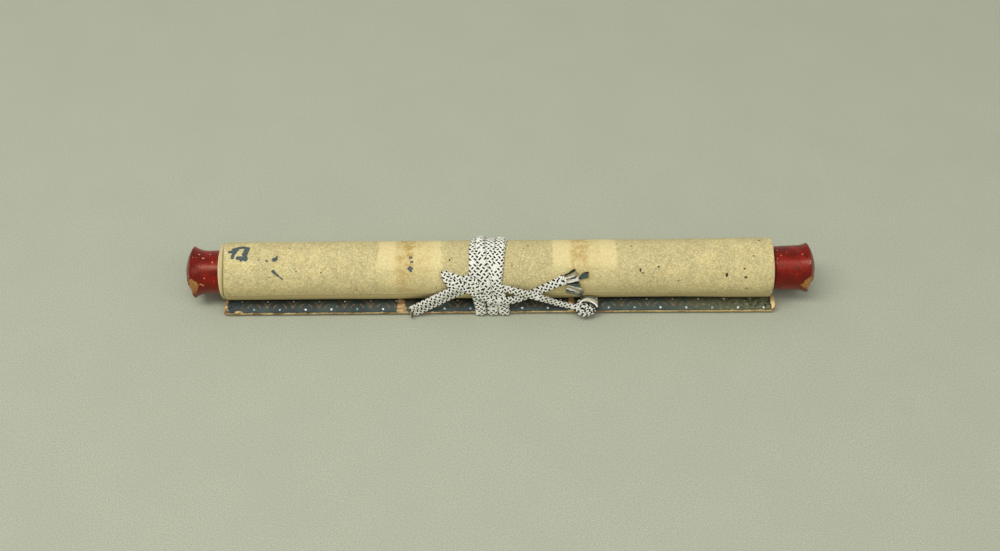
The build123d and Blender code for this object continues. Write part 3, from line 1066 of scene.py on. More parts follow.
# The two lighter squares on the paper: left and right edge in the photograph
PATCHES = [(378.0, 441.0), (553.0, 617.0)]
PATCH_ROW = 260           # the photograph's row in which they and their stains are measured
PATCH_LOW_EDGE = (400, 266)
PATCH_SOFTNESS = 0.8
# Brown stains in them: middle in the photograph, half width in mm and strength
STAINS = [(405.5, 6.0, 1.0), (416.0, 7.0, 0.45), (580.0, 5.2, 0.8), (592.0, 5.0, 0.3), (425.0, 4.0, 0.3)]


def round_the_roll(px, py):
    """A point of the photograph as mm along the roll and mm from its top down the front."""
    x, v = seen(px, py, 0.95)
    angle = math.pi - ELEVATION - math.asin(max(min(v / ROLL_RADIUS, 1), -1))
    return x, (angle - math.pi / 2) * ROLL_RADIUS


def on_band(px, py):
    """A point of the photograph as mm along the stave and mm round its sleeve."""
    x, v = seen(px, py, 0.45)
    return x, on_sleeve(v)


def spots(sh, warped, table, laid=round_the_roll):
    """How far outside the nearest of these spots a point lies, in shares of the spot's size."""
    distances = []
    for px, py, half_x, half_s in table:
        offset = warped - (*laid(px, py), 0)
        distances.append(sh.measure("LENGTH", offset * (1 / half_x, 1 / half_s, 0)))
    return sh.extreme("MINIMUM", distances)


def strokes(sh, warped, table):
    """How many mm outside the nearest of these strokes a point lies, negative inside."""
    distances = []
    for ax, ay, bx, by, half in table:
        start, end = Vector((*round_the_roll(ax, ay), 0)), Vector((*round_the_roll(bx, by), 0))
        run = end - start
        offset = warped - tuple(start)
        along = sh.measure("DOT_PRODUCT", offset, tuple(run))
        foot = sh.scale(tuple(run), sh.math("DIVIDE", along, run.length_squared, clamp=True))
        distances.append(sh.measure("LENGTH", offset - foot) - half)
    return sh.extreme("MINIMUM", distances)


# The pattern of the mounting cloth, in mm
WAVE_PERIOD = 16.5
ARC_RADII = (4.1, 8.0)
ARC_STROKE = 0.8
DOT_RADIUS = 0.7
LOWER_DOTS_AT = -24.5     # heights in the picture of the two rows of dots
UPPER_DOTS_AT = -19.5
# The band is in three lengths, and each has its own start of the pattern: a lower dot's place
PATTERN_STARTS = (-157.8, -35.9, 69.0)
PATTERN_JOINS = (-57.0, 47.0)
PATTERN_DROP = 0.7         # how much lower the pattern lies at the right end
BARE_GROUNDS = ((-61.0, -55.6), (46.6, 50.4))      # worn cloth without pattern beside the eyelets
# Holes in the cloth: place in the photograph and half sizes in mm along and round the stave
BAND_HOLES = [
    (771.6, 301.8, 0.7, 0.8), (773.2, 299.4, 0.3, 0.5), (760.4, 303.4, 0.7, 0.6),
    (767.2, 305.2, 0.8, 0.7), (768.4, 306.0, 0.6, 0.4), (766.6, 308.6, 0.5, 0.5),
    (773.0, 307.2, 0.4, 0.5), (757.6, 306.4, 0.9, 0.4), (743.8, 308.4, 0.8, 0.4),
    (226.8, 304.4, 0.5, 0.8), (228.0, 307.6, 0.5, 0.9), (226.4, 309.6, 0.6, 0.6),
    (229.0, 302.0, 0.5, 0.7), (242.4, 297.4, 1.3, 0.5),
]


def wave_arcs(sh, u, w, stroke, widen=0.0):
    """Pairs of arcs over one middle, broken at their top, as lines of 0 to 1."""
    away = sh.math("SQRT", u * u + w * w)
    lines = []
    for radius in ARC_RADII:
        lines.append(sh.fall(sh.math("ABSOLUTE", away - radius) - widen, stroke * 0.4, stroke * 0.6))
    beside = sh.math("ABSOLUTE", u) / away
    return sh.extreme("MAXIMUM", lines) * sh.step(beside, 0.3, 0.42) * sh.step(w, 0.6, 1.2)


def repeated(sh, x, start):
    """Distance along the roll to the nearest repeat of the pattern, with its sign."""
    return (sh.math("FRACT", (x - start) / WAVE_PERIOD + 0.5) - 0.5) * WAVE_PERIOD


def dots(sh, u, w):
    return sh.fall(sh.math("SQRT", u * u + w * w), DOT_RADIUS * 0.75, DOT_RADIUS * 1.1)


def paint_patches(sh, x, s):
    """Two lighter squares where labels or mends kept the dirt off, with brown stains in them."""
    frayed_x = x + (sh.noise(0.3, 4.0, 0.7) - 0.5) * 3.4
    squares = []
    for left, right in PATCHES:
        x0, x1 = round_the_roll(left, PATCH_ROW)[0], round_the_roll(right, PATCH_ROW)[0]
        squares.append(sh.step(frayed_x, x0 - PATCH_SOFTNESS, x0 + PATCH_SOFTNESS)
                       * sh.fall(frayed_x, x1 - PATCH_SOFTNESS, x1 + PATCH_SOFTNESS))
    patches = sh.extreme("MAXIMUM", squares)
    low_edge = round_the_roll(*PATCH_LOW_EDGE)[1]
    sh.paint(patches * (0.25 + sh.fall(s, low_edge - 1.0, low_edge + 5.0) * 0.6), PAPER_LIGHT)
    bent_x = x + (sh.noise(0.12, 2.0) - 0.5) * 5.0
    stains = []
    for centre, half, depth in STAINS:
        away = (bent_x - round_the_roll(centre, PATCH_ROW)[0]) / half
        stains.append(sh.fall(away * away, 0.0, 2.0) * depth)
    cloud = 0.3 + sh.step(sh.noise(0.25, 4.0, 0.65), 0.4, 0.6) * 0.7
    fade = 1.0 - sh.step(s, 2.0, 24.0) * 0.55
    stain = sh.extreme("MAXIMUM", stains) * cloud * (patches * fade)
    sh.paint(stain * 0.9, srgb(176, 141, 62))
    flecked = sh.noise(0.8, 3.0, 0.65, at=sh.place + (31.0, 7.0, 3.0))
    sh.paint(sh.step(flecked, 0.52, 0.68) * 0.34, srgb(168, 146, 92))
    sh.paint(sh.step(flecked, 0.48, 0.34) * 0.34, srgb(250, 236, 186))


def paint_crease_light_and_shade(sh, x, s, mottle):
    """Painted shade towards the table, painted light and a painted highlight at the crease there, and
    painted shade just below it.
    """
    crease = s + (sh.noise(0.06, 2.0, at=sh.place * (1, 0, 0)) - 0.5) * 3.0
    lower = sh.step(x, *CREASE_RIGHT[1:]) * CREASE_RIGHT[0]
    crease = crease - (lower + sh.step(x * -1.0, *CREASE_LEFT[1:]) * CREASE_LEFT[0])
    # Painted shade, darker towards the table; painted light on the pressed flat below the crease; a painted
    # highlight along the crease's ridge; a line of painted shade just below it.
    sh.paint(sh.step(crease, 20.0, 33.0) * 0.35, srgb(150, 128, 78))
    sh.paint(sh.step(crease, 30.6, 31.4) * 0.5, srgb(236, 214, 150))
    sh.paint(sh.line(crease, 30.2, 0.2, 0.9) * (sh.step(mottle, 0.35, 0.6) * 0.7), srgb(226, 210, 156))
    sh.paint(sh.line(crease, 31.7, 0.2, 0.7) * 0.55, srgb(128, 112, 66))


def paint_rims(sh, mottle):
    """Each turn's cut edge is pale, and on the turns inside, dirt and painted shade lie beside the edge of
    the turn above.
    """
    from_rim, inside, _ = sh.split(sh.spread("rim"))
    from_rim = from_rim + (mottle - 0.5) * 0.5
    # dirt and painted shade beside the turn above, and a thin darker line of both
    sh.paint(sh.step(from_rim, 0.95, 1.4) * inside * 0.75, srgb(112, 90, 52))
    sh.paint(sh.line(from_rim, 0.55, 0.1, 0.3) * inside * 0.4, srgb(128, 120, 66))
    sh.paint(sh.fall(from_rim, 0.2, 0.4) * 0.6, srgb(236, 220, 168))


def paper_material():
    """The aged backing paper of the roll, with mended patches, stains and worn spots."""
    sh = Shader("backing_paper")
    flat = sh.spread("flat")
    x, s, inner = sh.split(flat)
    mottle = sh.noise(0.55, 4.0, 0.65)
    grain = sh.noise(3.2, 3.0, 0.7)
    fibre = sh.noise(0.9, 3.0, 0.6, 1.5, at=sh.place * (0.35, 2.2, 2.2))
    pitted = sh.noise(1.05, 2.0, 0.6)
    sh.colour = sh.mix(sh.step(sh.noise(0.11, 4.0, 0.6), 0.35, 0.66), PAPER_GREY, PAPER)
    sh.paint(sh.step(x, -35.0, -30.0) * sh.fall(x, 60.0, 130.0) * 0.8, PAPER_GREY)
    sh.paint(sh.step(mottle, 0.46, 0.72) * 0.45, PAPER_TAN)
    sh.paint(sh.step(fibre, 0.52, 0.72) * 0.35, PAPER_LIGHT)
    sh.paint(sh.step(sh.noise(0.42, 3.0, 0.6), 0.5, 0.68) * 0.45, srgb(166, 150, 102))
    sh.paint(sh.step(pitted, 0.52, 0.66) * 0.5, srgb(150, 134, 88))
    sh.paint(sh.step(pitted, 0.48, 0.34) * 0.5, srgb(238, 224, 168))

    # The weave of the face shows through as faint arcs
    warp = sh.scale(sh.swirl(Scale=0.2, Detail=2.0), 2.2)
    bent_x, bent_s, _ = sh.split(flat + warp)
    rows = sh.math("FRACT", bent_s / (WAVE_PERIOD / 2)) * (WAVE_PERIOD / 2)
    arcs = wave_arcs(sh, repeated(sh, bent_x, 0.0), rows, 1.5)
    sh.paint(arcs * sh.step(sh.noise(0.14, 2.0), 0.42, 0.62) * 0.3, srgb(176, 148, 92))
    paint_patches(sh, x, s)
    paint_crease_light_and_shade(sh, x, s, mottle)

    # Worn spots: the cloth shows through some, and others are insect holes and dark specks
    ragged = sh.swirl(Scale=0.9, Detail=4.0, Roughness=0.7) - NOISE_MIDDLE
    warped = (flat + sh.scale(ragged, 1.7)) * (1, 1, 0)
    worn = sh.fall(strokes(sh, warped, LOSSES), -0.06, 0.08)
    cloth = sh.mix(sh.step(grain, 0.4, 0.75), CLOTH, CLOTH_LIGHT)
    sh.paint(worn, cloth)
    specks = sh.fall(spots(sh, flat + sh.scale(ragged, 0.9), DARK_SPECKS), 0.85, 1.15)
    sh.paint(specks, HOLE)
    tiny = sh.fall(sh.cells(0.22), 0.035, 0.06) * sh.step(sh.noise(0.07, 1.0), 0.5, 0.6)
    sh.paint(tiny * 0.8, srgb(84, 74, 46))
    sh.paint(sh.step(grain, 0.5, 0.75) * 0.3, srgb(160, 144, 92))
    sh.paint(sh.step(sh.noise(2.1, 3.0, 0.7), 0.5, 0.75) * 0.3, srgb(240, 226, 170))
    paint_rims(sh, mottle)

    # The inner side of the sheet is cloth
    sh.paint(sh.step(inner, 0.6, 0.9), cloth)
    height = mottle * 0.7 + grain * 0.25 + arcs * 0.18 - worn * 1.1 - specks * 0.8
    return sh.finish(0.86, height, 0.55, 0.0004)


def band_material():
    """The mounting cloth on the stave: dark blue-green with gold arcs and white dots."""
    sh = Shader("mounting_cloth")
    flat = sh.spread("flat")
    x = sh.split(flat)[0]
    grain = sh.noise(3.0, 3.0, 0.7)
    threads = sh.node("TexWave", {"Vector": sh.place, "Scale": 0.9, "Distortion": 0.6}, bands_direction="X")
    sh.colour = sh.mix(sh.step(sh.noise(0.12, 3.0, 0.6), 0.35, 0.65), srgb(34, 50, 54), srgb(60, 76, 72))
    sh.paint(sh.step(sh.noise(0.3), 0.5, 0.7) * 0.5, srgb(70, 62, 70))
    sh.paint(grain * 0.35, srgb(84, 98, 88))
    right_end = sh.step(x, 95.0, 160.0)
    sh.paint(sh.step(x, 60.0, 110.0) * 0.4, srgb(70, 84, 72))
    sh.paint(right_end * 0.75, srgb(92, 96, 64))
    glints = sh.step(sh.noise(0.6, 3.0, 0.65, at=sh.place * (0.6, 1, 1)), 0.5, 0.66) * right_end
    sh.paint(glints * 0.5, srgb(156, 156, 100))

    # The pattern, with its three starts
    shift = (sh.swirl(Scale=0.9, Detail=3.0) - NOISE_MIDDLE) * (1.1, 1.1, 0)
    bent_x, bent_s, _ = sh.split(flat + shift)
    start = PATTERN_STARTS[0]
    for join, next_start in zip(PATTERN_JOINS, PATTERN_STARTS[1:]):
        start = start + sh.math("GREATER_THAN", x, join) * (next_start - start)
    u = repeated(sh, bent_x, start)
    half_way = repeated(sh, bent_x, start + WAVE_PERIOD / 2)
    down = sh.step(x, 60.0, 150.0) * PATTERN_DROP
    w, w_above = (down + row - bent_s for row in SLEEVE_DOTS)
    arcs = wave_arcs(sh, u, w, ARC_STROKE, right_end * 0.4)
    worn = sh.step(sh.noise(0.55, 4.0, 0.7), 0.34, 0.52)
    arcs = arcs * (worn * sh.step(x, -167.0, -164.0))
    gold = sh.mix(sh.step(grain, 0.4, 0.7), srgb(120, 88, 50), srgb(172, 136, 74))
    sh.paint(arcs * 0.9, sh.mix(right_end, gold, srgb(58, 44, 30)))
    bright = sh.step(sh.noise(0.09, 1.0, at=sh.place * (1, 0.2, 0.2)), 0.35, 0.6)
    both_rows = sh.math("MAXIMUM", dots(sh, u, w), dots(sh, half_way, w_above))
    sh.paint(both_rows, sh.mix(bright, srgb(150, 168, 166), srgb(250, 250, 242)))

    # Worn ground at the eyelets, the tan strip below and small holes
    bare = [sh.step(bent_x, first - 0.2, first + 0.2) * sh.fall(bent_x, last - 0.5, last + 0.5)
            for first, last in BARE_GROUNDS]
    ground = sh.mix(sh.step(sh.noise(0.8, 3.0, 0.7), 0.4, 0.6), srgb(62, 66, 54), srgb(98, 100, 80))
    sh.paint(sh.extreme("MAXIMUM", bare) * 0.85, ground)
    tan = sh.step(sh.value("tan") + (sh.noise(0.6, 4.0, 0.7) - 0.5) * 1.1, 0.48, 0.56)
    streaks = sh.step(sh.noise(0.35, 4.0, 0.7, at=sh.place * (0.4, 1, 1)), 0.35, 0.65)
    strip = sh.mix(streaks, srgb(140, 98, 54), srgb(240, 212, 150))
    sh.paint(tan, sh.mix(right_end * 0.45, strip, srgb(255, 222, 150)))
    sh.paint(sh.fall(spots(sh, flat + shift, BAND_HOLES, on_band), 0.8, 1.2), srgb(26, 20, 14))
    height = Value(threads.outputs[1], sh.math) * 0.35 + grain * 0.6 + arcs * 0.4 + both_rows + tan * -0.6
    return sh.finish(0.72, height, 0.5, 0.0003)


def on_knob(px, py):
    """The place of a knob's face, in mm, that the photograph shows at a pixel."""
    facts = KNOBS["left_knob" if px < AXIS_PIXEL_X else "right_knob"]
    profile = knob_profile(facts["waist"], facts["rim"], facts["flare"])
    profile = profile[profile[:, 0] >= 0]
    turn = np.linspace(math.pi / 2 - ELEVATION, 1.5 * math.pi - ELEVATION, 300)
    along, around = np.meshgrid(profile[:, 0], turn)
    radius = np.broadcast_to(profile[:, 1], along.shape)
    x = facts["side"] * (KNOB_TIP - NECK_AND_FLARE - DOME + along)
    points = np.stack([x, radius * np.cos(around), radius * np.sin(around)], -1).reshape(-1, 3)
    off = np.linalg.norm(camera_plane(points) - seen(px, py, 0.0), axis=1)
    return world(points[np.argmin(off)]) / MM


# Pale specks on the knobs, and as the last two a painted highlight on the right knob's flare: place in the
# photograph and radius in mm
PALE_SPECKS_AND_HIGHLIGHT = [
    (199.3, 254.4, 0.6), (210.5, 254.5, 0.55), (202.8, 258.3, 0.6), (204.0, 258.5, 0.5),
    (212.3, 262.4, 0.6), (204.5, 278.5, 0.55), (193.0, 257.3, 0.35), (196.3, 257.4, 0.3),
    (190.6, 255.8, 0.3), (200.4, 284.0, 0.5), (201.4, 284.7, 0.55), (202.5, 285.4, 0.55),
    (203.2, 285.9, 0.45), (188.6, 276.4, 0.5), (213.8, 281.5, 0.3), (777.3, 250.4, 0.45),
    (775.4, 255.3, 0.35), (781.5, 255.4, 0.45), (777.6, 258.7, 0.4), (802.5, 254.3, 0.5),
    (798.4, 251.2, 0.3), (786.8, 252.4, 0.3), (811.0, 261.0, 0.6), (810.8, 263.2, 0.45),
]
DARK_CHIPS = [(806.0, 254.2, 0.8), (806.8, 256.4, 0.9), (805.2, 255.6, 0.6), (776.8, 251.4, 0.4)]


def knob_spots(sh, warped, table):
    return sh.extreme("MAXIMUM", [
        sh.fall(sh.measure("LENGTH", warped - tuple(on_knob(px, py))), radius * 0.5, radius)
        for px, py, radius in table])


def lacquer_material():
    """Old red lacquer over wood, with lathe rings, worn edges and small flakes."""
    sh = Shader("red_lacquer")
    rings = sh.noise(1.0, 3.0, 0.7, at=sh.place * (2.2, 0.02, 0.02))
    fine = sh.noise(1.6, 4.0, 0.7)
    sh.colour = sh.mix(sh.step(sh.noise(0.12, 3.0, 0.6), 0.35, 0.68), srgb(98, 8, 2), srgb(138, 13, 2))
    sh.paint(sh.step(rings, 0.52, 0.72) * 0.4, srgb(78, 14, 10))
    sh.paint(sh.step(fine, 0.6, 0.8) * 0.25, srgb(170, 62, 44))
    flakes = sh.fall(sh.cells(0.3), 0.06, 0.09) * sh.step(sh.noise(0.2, 1.0), 0.38, 0.44)
    sh.paint(flakes * 0.5, srgb(190, 120, 90))
    warped = sh.place + sh.scale(sh.swirl(Scale=1.6) - NOISE_MIDDLE, 0.5)
    pale = knob_spots(sh, warped, PALE_SPECKS_AND_HIGHLIGHT)
    # pale specks, and a painted highlight on the right knob's flare
    sh.paint(pale, srgb(216, 158, 122))
    sh.paint(knob_spots(sh, warped, DARK_CHIPS), srgb(34, 16, 14))
    bare = sh.step(sh.value("bare") + (sh.noise(1.1, 4.0, 0.7) - 0.5) * 0.9, 0.48, 0.54)
    wood = sh.step(sh.noise(1.0, 4.0, 0.6, at=sh.place * (0.5, 2.5, 2.5)), 0.38, 0.62)
    sh.paint(bare, sh.mix(wood, srgb(104, 62, 30), srgb(206, 152, 84)))
    sh.surface.inputs["Specular IOR Level"].default_value = 0.5
    sh.surface.inputs["Specular Tint"].default_value = (1.0, 0.6, 0.44, 1.0)
    roughness = 0.2 + sh.step(fine, 0.35, 0.7) * 0.2 + bare * 0.45
    return sh.finish(roughness, rings + fine * 0.45 - bare + pale * 0.3, 0.5, 0.00025)


def wood_material(name, light, dark):
    sh = Shader(name)
    grain = sh.noise(1.0, 4.0, 0.6, at=sh.place * (0.08, 1.6, 1.6))
    pores = sh.noise(1.8, 4.0, 0.7)
    sh.colour = sh.mix(sh.step(grain, 0.35, 0.68), dark, light)
    sh.paint(sh.step(pores, 0.62, 0.7), HOLE)
    return sh.finish(0.7, pores, 0.4, 0.0003)


def wire_material():
    sh = Shader("old_wire")
    tarnish = sh.noise(1.2, 4.0, 0.7)
    sh.surface.inputs["Metallic"].default_value = 0.85
    sh.colour = sh.mix(sh.step(tarnish, 0.35, 0.65), srgb(60, 48, 30), srgb(140, 112, 62))
    return sh.finish(0.4 + tarnish * 0.3, tarnish, 0.3, 0.0001)


# The rolled sheet
FINE_COLUMNS = 290
CROWN_STEPS = 38
COARSE_COLUMNS = [0.0, 0.0015, 0.004, 0.02, 0.5, 0.8, 0.9, 0.98, 0.996, 0.9985, 1.0]
FINE_ROWS = 44            # for each of the two outermost half turns
COARSE_ROWS = 22          # for each half turn inside them
STRIP_COLUMNS = 30        # on the strip that runs flat from the stave to the roll
STRIP_PLACES = (1.0, 0.66, 0.33)           # of its rows, as shares of the way from the roll to the stave
STRIP_ARC = -59.0         # its place round the roll for the paper's pattern


def spiral_place(run, depth):
    """A point of the sheet: run counts half turns inward from the outer end, below the axis."""
    turn = np.minimum(np.floor(run), HALF_TURNS - 1)
    centre_z = np.where(turn % 2 == 0, 0.0, HALF_PITCH)
    radius = ROLL_RADIUS - turn * HALF_PITCH - depth
    angle = -math.pi / 2 + math.pi * run
    return radius * np.cos(angle), centre_z + radius * np.sin(angle), angle


def pressed(y, z, run):
    """Moves a point of a turn inward where the side towards the stave is flat."""
    middle = math.radians((FLAT_FROM + FLAT_TO) / 2)
    half = math.radians((FLAT_TO - FLAT_FROM) / 2)
    turn = max(math.floor(run) - 1, 0) / 2
    radius = math.hypot(y, z)
    limit = ROLL_RADIUS * math.cos(half) - (ROLL_RADIUS - radius) + FLAT_TAKEN_UP * turn
    reach = y * math.cos(middle) + z * math.sin(middle)
    over = reach - limit + FLAT_SOFTNESS
    if over <= 0:
        return y, z
    move = over**2 / (4 * FLAT_SOFTNESS) if over < 2 * FLAT_SOFTNESS else over - FLAT_SOFTNESS
    return y - move * math.cos(middle), z - move * math.sin(middle)


def turn_number(run):
    """Which turn of the roll it is, counted inward from 0."""
    return max(run - 2.0, 0) / 2 + (run > 2.0)


def edge_x(side, run, angle):
    """Where the sheet's left or right edge lies: each turn has slipped a little, and wear eats in."""
    turn = turn_number(run)
    low = min(math.floor(turn), len(SLIPS) - 1)
    high = min(low + 1, len(SLIPS) - 1)
    share = smooth(turn - low, 0.0, 1.0)
    base = side * SHEET_WIDTH / 2 + SLIPS[low] * (1 - share) + SLIPS[high] * share
    top_turn = 1 - smooth(run, 1.9, 2.2)
    wear = abs(wobble(angle * 2.7 + side * 9, run * 3.1)) * 0.7
    wear += abs(wobble(angle * 9.0, side * 5, run)) * 0.35
    if side < 0:
        from_belly = (math.degrees(angle) % 360 - BELLY_ANGLE) / BELLY_REACH
        shape = np.interp(turn, range(5), BELLY_WEAR) * math.exp(-(from_belly**2))
        return float(base + shape + (0.25 + 0.25 * top_turn) * wear)
    right = min(base, RIGHT_EDGE + 1.1 * smooth(turn, 8, 9.5))
    return float(right - (0.35 + 0.35 * top_turn) * wear)


def crease_shift(x):
    """How much further down the front the crease lies towards both ends, in mm."""
    right = CREASE_RIGHT[0] * float(smooth(x, *CREASE_RIGHT[1:]))
    return right + CREASE_LEFT[0] * float(smooth(-x, *CREASE_LEFT[1:]))


def loosened(x, run):
    """How far a turn stands off the even spiral where the roll has come loose at its right end."""
    lift, start, end = LOOSENING
    return lift * float(smooth(x, start, end)) * max(1 - turn_number(run) / LOOSE_TURNS, 0.0)


def paper_swell(x, angle, run):
    """How far the outermost paper's face stands off the sheet's own place, in mm."""
    cord = raised(x, -26, -20, 7, 12)
    soft = 0.16 * wobble(x * 0.03, angle * 1.2, run) + 0.07 * wobble(x * 0.12, angle * 4.0, 3.0)
    low = math.degrees(angle) % 360 - 1.6 * wobble(x * 0.05, 7.0)
    low -= math.degrees(crease_shift(x) / ROLL_RADIUS)
    ridge = 0.26 * math.exp(-(((low - 182.5) / 1.6) ** 2))
    groove = -0.26 * math.exp(-(((low - 188.5) / 2.0) ** 2))
    return (soft + ridge + groove) * (1 - 0.8 * cord)


def bridge(first, second):
    """Faces between two rows of points with different counts."""
    if len(first) == len(second):
        return [(first[i], first[i + 1], second[i + 1], second[i]) for i in range(len(first) - 1)]
    faces = []
    i = j = 0
    while i < len(first) - 1 or j < len(second) - 1:
        next_i = (i + 1) / (len(first) - 1)
        next_j = (j + 1) / (len(second) - 1)
        if j == len(second) - 1 or (i < len(first) - 1 and next_i <= next_j):
            faces.append((first[i], first[i + 1], second[j]))
            i += 1
        else:
            faces.append((first[i], second[j + 1], second[j]))
            j += 1
    return faces


def add_roll():
    """The rolled sheet: two fine half turns outside, and plainer ones inside."""
    vertices, flat, rim, outer_rows, inner_rows = [], [], [], [], []

    def add_row(columns, ends, place, normal, arc, inner, swell=None, fine=True):
        left, right = ends
        first = len(vertices)
        for t in columns:
            x = left + (right - left) * t
            off = swell(x) if swell else 0.0
            vertices.append((x, place[0] + off * normal[0], place[1] + off * normal[1]))
            flat.append((x, arc, inner))
            rim.append((min(x - left, right - x), 0.0 if fine else 1.0, 0.0))
        return range(first, len(vertices))

    below = (0, -1)
    on_roll = [edge_x(side, 0.0, -math.pi / 2) for side in (-1, 1)]
    for share in STRIP_PLACES:
        y = STAVE_BACK * share
        ends = [x * (1 - share) + (FLAP_SHIFT + side * FLAP_WIDTH / 2) * share
                for side, x in zip((-1, 1), on_roll)]
        columns = np.linspace(0, 1, STRIP_COLUMNS)
        outer_rows.append(add_row(columns, ends, (y, -ROLL_RADIUS), below, STRIP_ARC, 0.0))
        inner_rows.append(add_row(COARSE_COLUMNS, ends, (y, -ROLL_RADIUS + SHEET), below, STRIP_ARC, 1.0))
    runs = list(np.linspace(0, 2, 2 * FINE_ROWS + 1)[:-1])
    runs += list(np.linspace(2, HALF_TURNS, (HALF_TURNS - 2) * COARSE_ROWS + 1))
    for run in runs:
        fine = run < 2
        y, z, angle = (float(value) for value in spiral_place(run, 0.0))
        y_in, z_in, _ = (float(value) for value in spiral_place(run, SHEET))
        ends = [edge_x(side, run, angle) for side in (-1, 1)]
        arc = (angle - math.pi / 2) * ROLL_RADIUS
        normal = (math.cos(angle), math.sin(angle))
        columns = np.linspace(0, 1, FINE_COLUMNS) if fine else COARSE_COLUMNS

        def loose(x):
            return loosened(x, run)

        def swollen(x):
            return paper_swell(x, angle, run) + loosened(x, run)

        outer_rows.append(add_row(columns, ends, pressed(y, z, run), normal, arc, 0.0,
                                  swollen if fine else loose, fine))
        inner_rows.append(add_row(COARSE_COLUMNS, ends, pressed(y_in, z_in, run), normal, arc, 1.0,
                                  loose, fine))
    faces = []
    for a, b in zip(outer_rows, outer_rows[1:]):
        faces += bridge(a, b)
    for a, b in zip(inner_rows, inner_rows[1:]):
        faces += [face[::-1] for face in bridge(a, b)]
    for k in range(len(outer_rows) - 1):
        faces.append((outer_rows[k][0], outer_rows[k + 1][0], inner_rows[k + 1][0], inner_rows[k][0]))
        faces.append((outer_rows[k + 1][-1], outer_rows[k][-1], inner_rows[k][-1], inner_rows[k + 1][-1]))
    faces += [face[::-1] for face in bridge(outer_rows[0], inner_rows[0])]
    faces += bridge(outer_rows[-1], inner_rows[-1])
    piece = add_object("rolled_sheet", vertices, faces, [paper_material()])
    add_values(piece, "flat", flat, "FLOAT_VECTOR")
    add_values(piece, "rim", rim, "FLOAT_VECTOR")
    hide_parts("scroll_sheet")


# The sleeve round the stave

SLEEVE_ROUNDING = 2.5     # of its front corner on the right
# Where the cloth has worn through at the eyelets: left edge, right edge at the top and at the front
EYELET_WEAR = ((-66.1, -62.2, -60.0), (43.5, 46.7, 46.9))


def crown_circle():
    """Centre and radius of the stave's rounded top, in the section's own place."""
    floor = -ROLL_RADIUS + SLEEVE
    points = [
        (STAVE_BACK, floor + BACK_HEIGHT),
        (STAVE_BACK - STAVE_WIDTH / 2, floor + CROWN_HEIGHT),
        (STAVE_BACK - STAVE_WIDTH, floor + FRONT_HEIGHT),
    ]
    rows = [(2 * (points[1][0] - p[0]), 2 * (points[1][1] - p[1])) for p in (points[0], points[2])]
    sums = [points[1][0] ** 2 + points[1][1] ** 2 - p[0] ** 2 - p[1] ** 2 for p in (points[0], points[2])]
    y, z = np.linalg.solve(np.array(rows), np.array(sums))
    return y, z, math.hypot(points[0][0] - y, points[0][1] - z)


def sleeve_section(extra):
    """Round the stave at a distance: y, z and a running place, 0 at the back of the crown."""
    centre_y, centre_z, radius = crown_circle()
    floor = -ROLL_RADIUS + SLEEVE
    back, front = STAVE_BACK - STAVE_CORNER, STAVE_BACK - STAVE_WIDTH + STAVE_CORNER
    inside = radius - STAVE_CORNER
    back_z = centre_z + math.sqrt(inside**2 - (back - centre_y) ** 2)
    front_z = centre_z + math.sqrt(inside**2 - (front - centre_y) ** 2)
    back_angle = math.atan2(back_z - centre_z, back - centre_y)
    front_angle = math.atan2(front_z - centre_z, front - centre_y)
    low = floor + STAVE_CORNER
    grow = STAVE_CORNER + extra
    arcs = [
        (centre_y, centre_z, inside + grow, back_angle, front_angle, CROWN_STEPS),
        (front, front_z, grow, front_angle, math.pi, 6),
        (front, low, grow, math.pi, 1.5 * math.pi, 7),
        (back, low, grow, 1.5 * math.pi, math.tau, 5),
        (back, back_z, grow, math.tau, math.tau + back_angle, 4),
    ]
    points = []
    for y, z, r, start, end, count in arcs:
        for angle in np.linspace(start, end, count, endpoint=False):
            points.append((y + r * math.cos(angle), z + r * math.sin(angle), angle))
    return np.array(points)


def on_sleeve(v):
    """Where round the sleeve a point of its top lies that is seen at that height in the picture."""
    top = sleeve_section(SLEEVE)[:CROWN_STEPS]
    height = top[:, 0] * math.sin(ELEVATION) + top[:, 1] * math.cos(ELEVATION)
    return float(np.interp(-v, -height, lengths_along(top[:, :2])))


def stave_end(side, angle, y):
    """The sleeve's worn end: eaten on the left, rounded at the front on the right."""
    end = FLAP_SHIFT + side * FLAP_WIDTH / 2
    bite = 0.55 * abs(wobble(y * 0.9, angle * 1.3, side * 4.0))
    bite += 0.5 * abs(wobble(y * 2.3, angle * 3.0, side * 7.0))
    if side > 0:
        into = max(0.0, STAVE_FRONT + SLEEVE_ROUNDING - y)
        round_off = SLEEVE_ROUNDING - math.sqrt(max(SLEEVE_ROUNDING**2 - into**2, 0.0))
        return end - round_off - 0.45 * bite + 0.1
    return end + 1.5 * bite


def sleeve_x(share, angle, y):
    """From a share of the sleeve's length to a place along the roll."""
    left, right = stave_end(-1, angle, y), stave_end(1, angle, y)
    return left + (right - left) * share


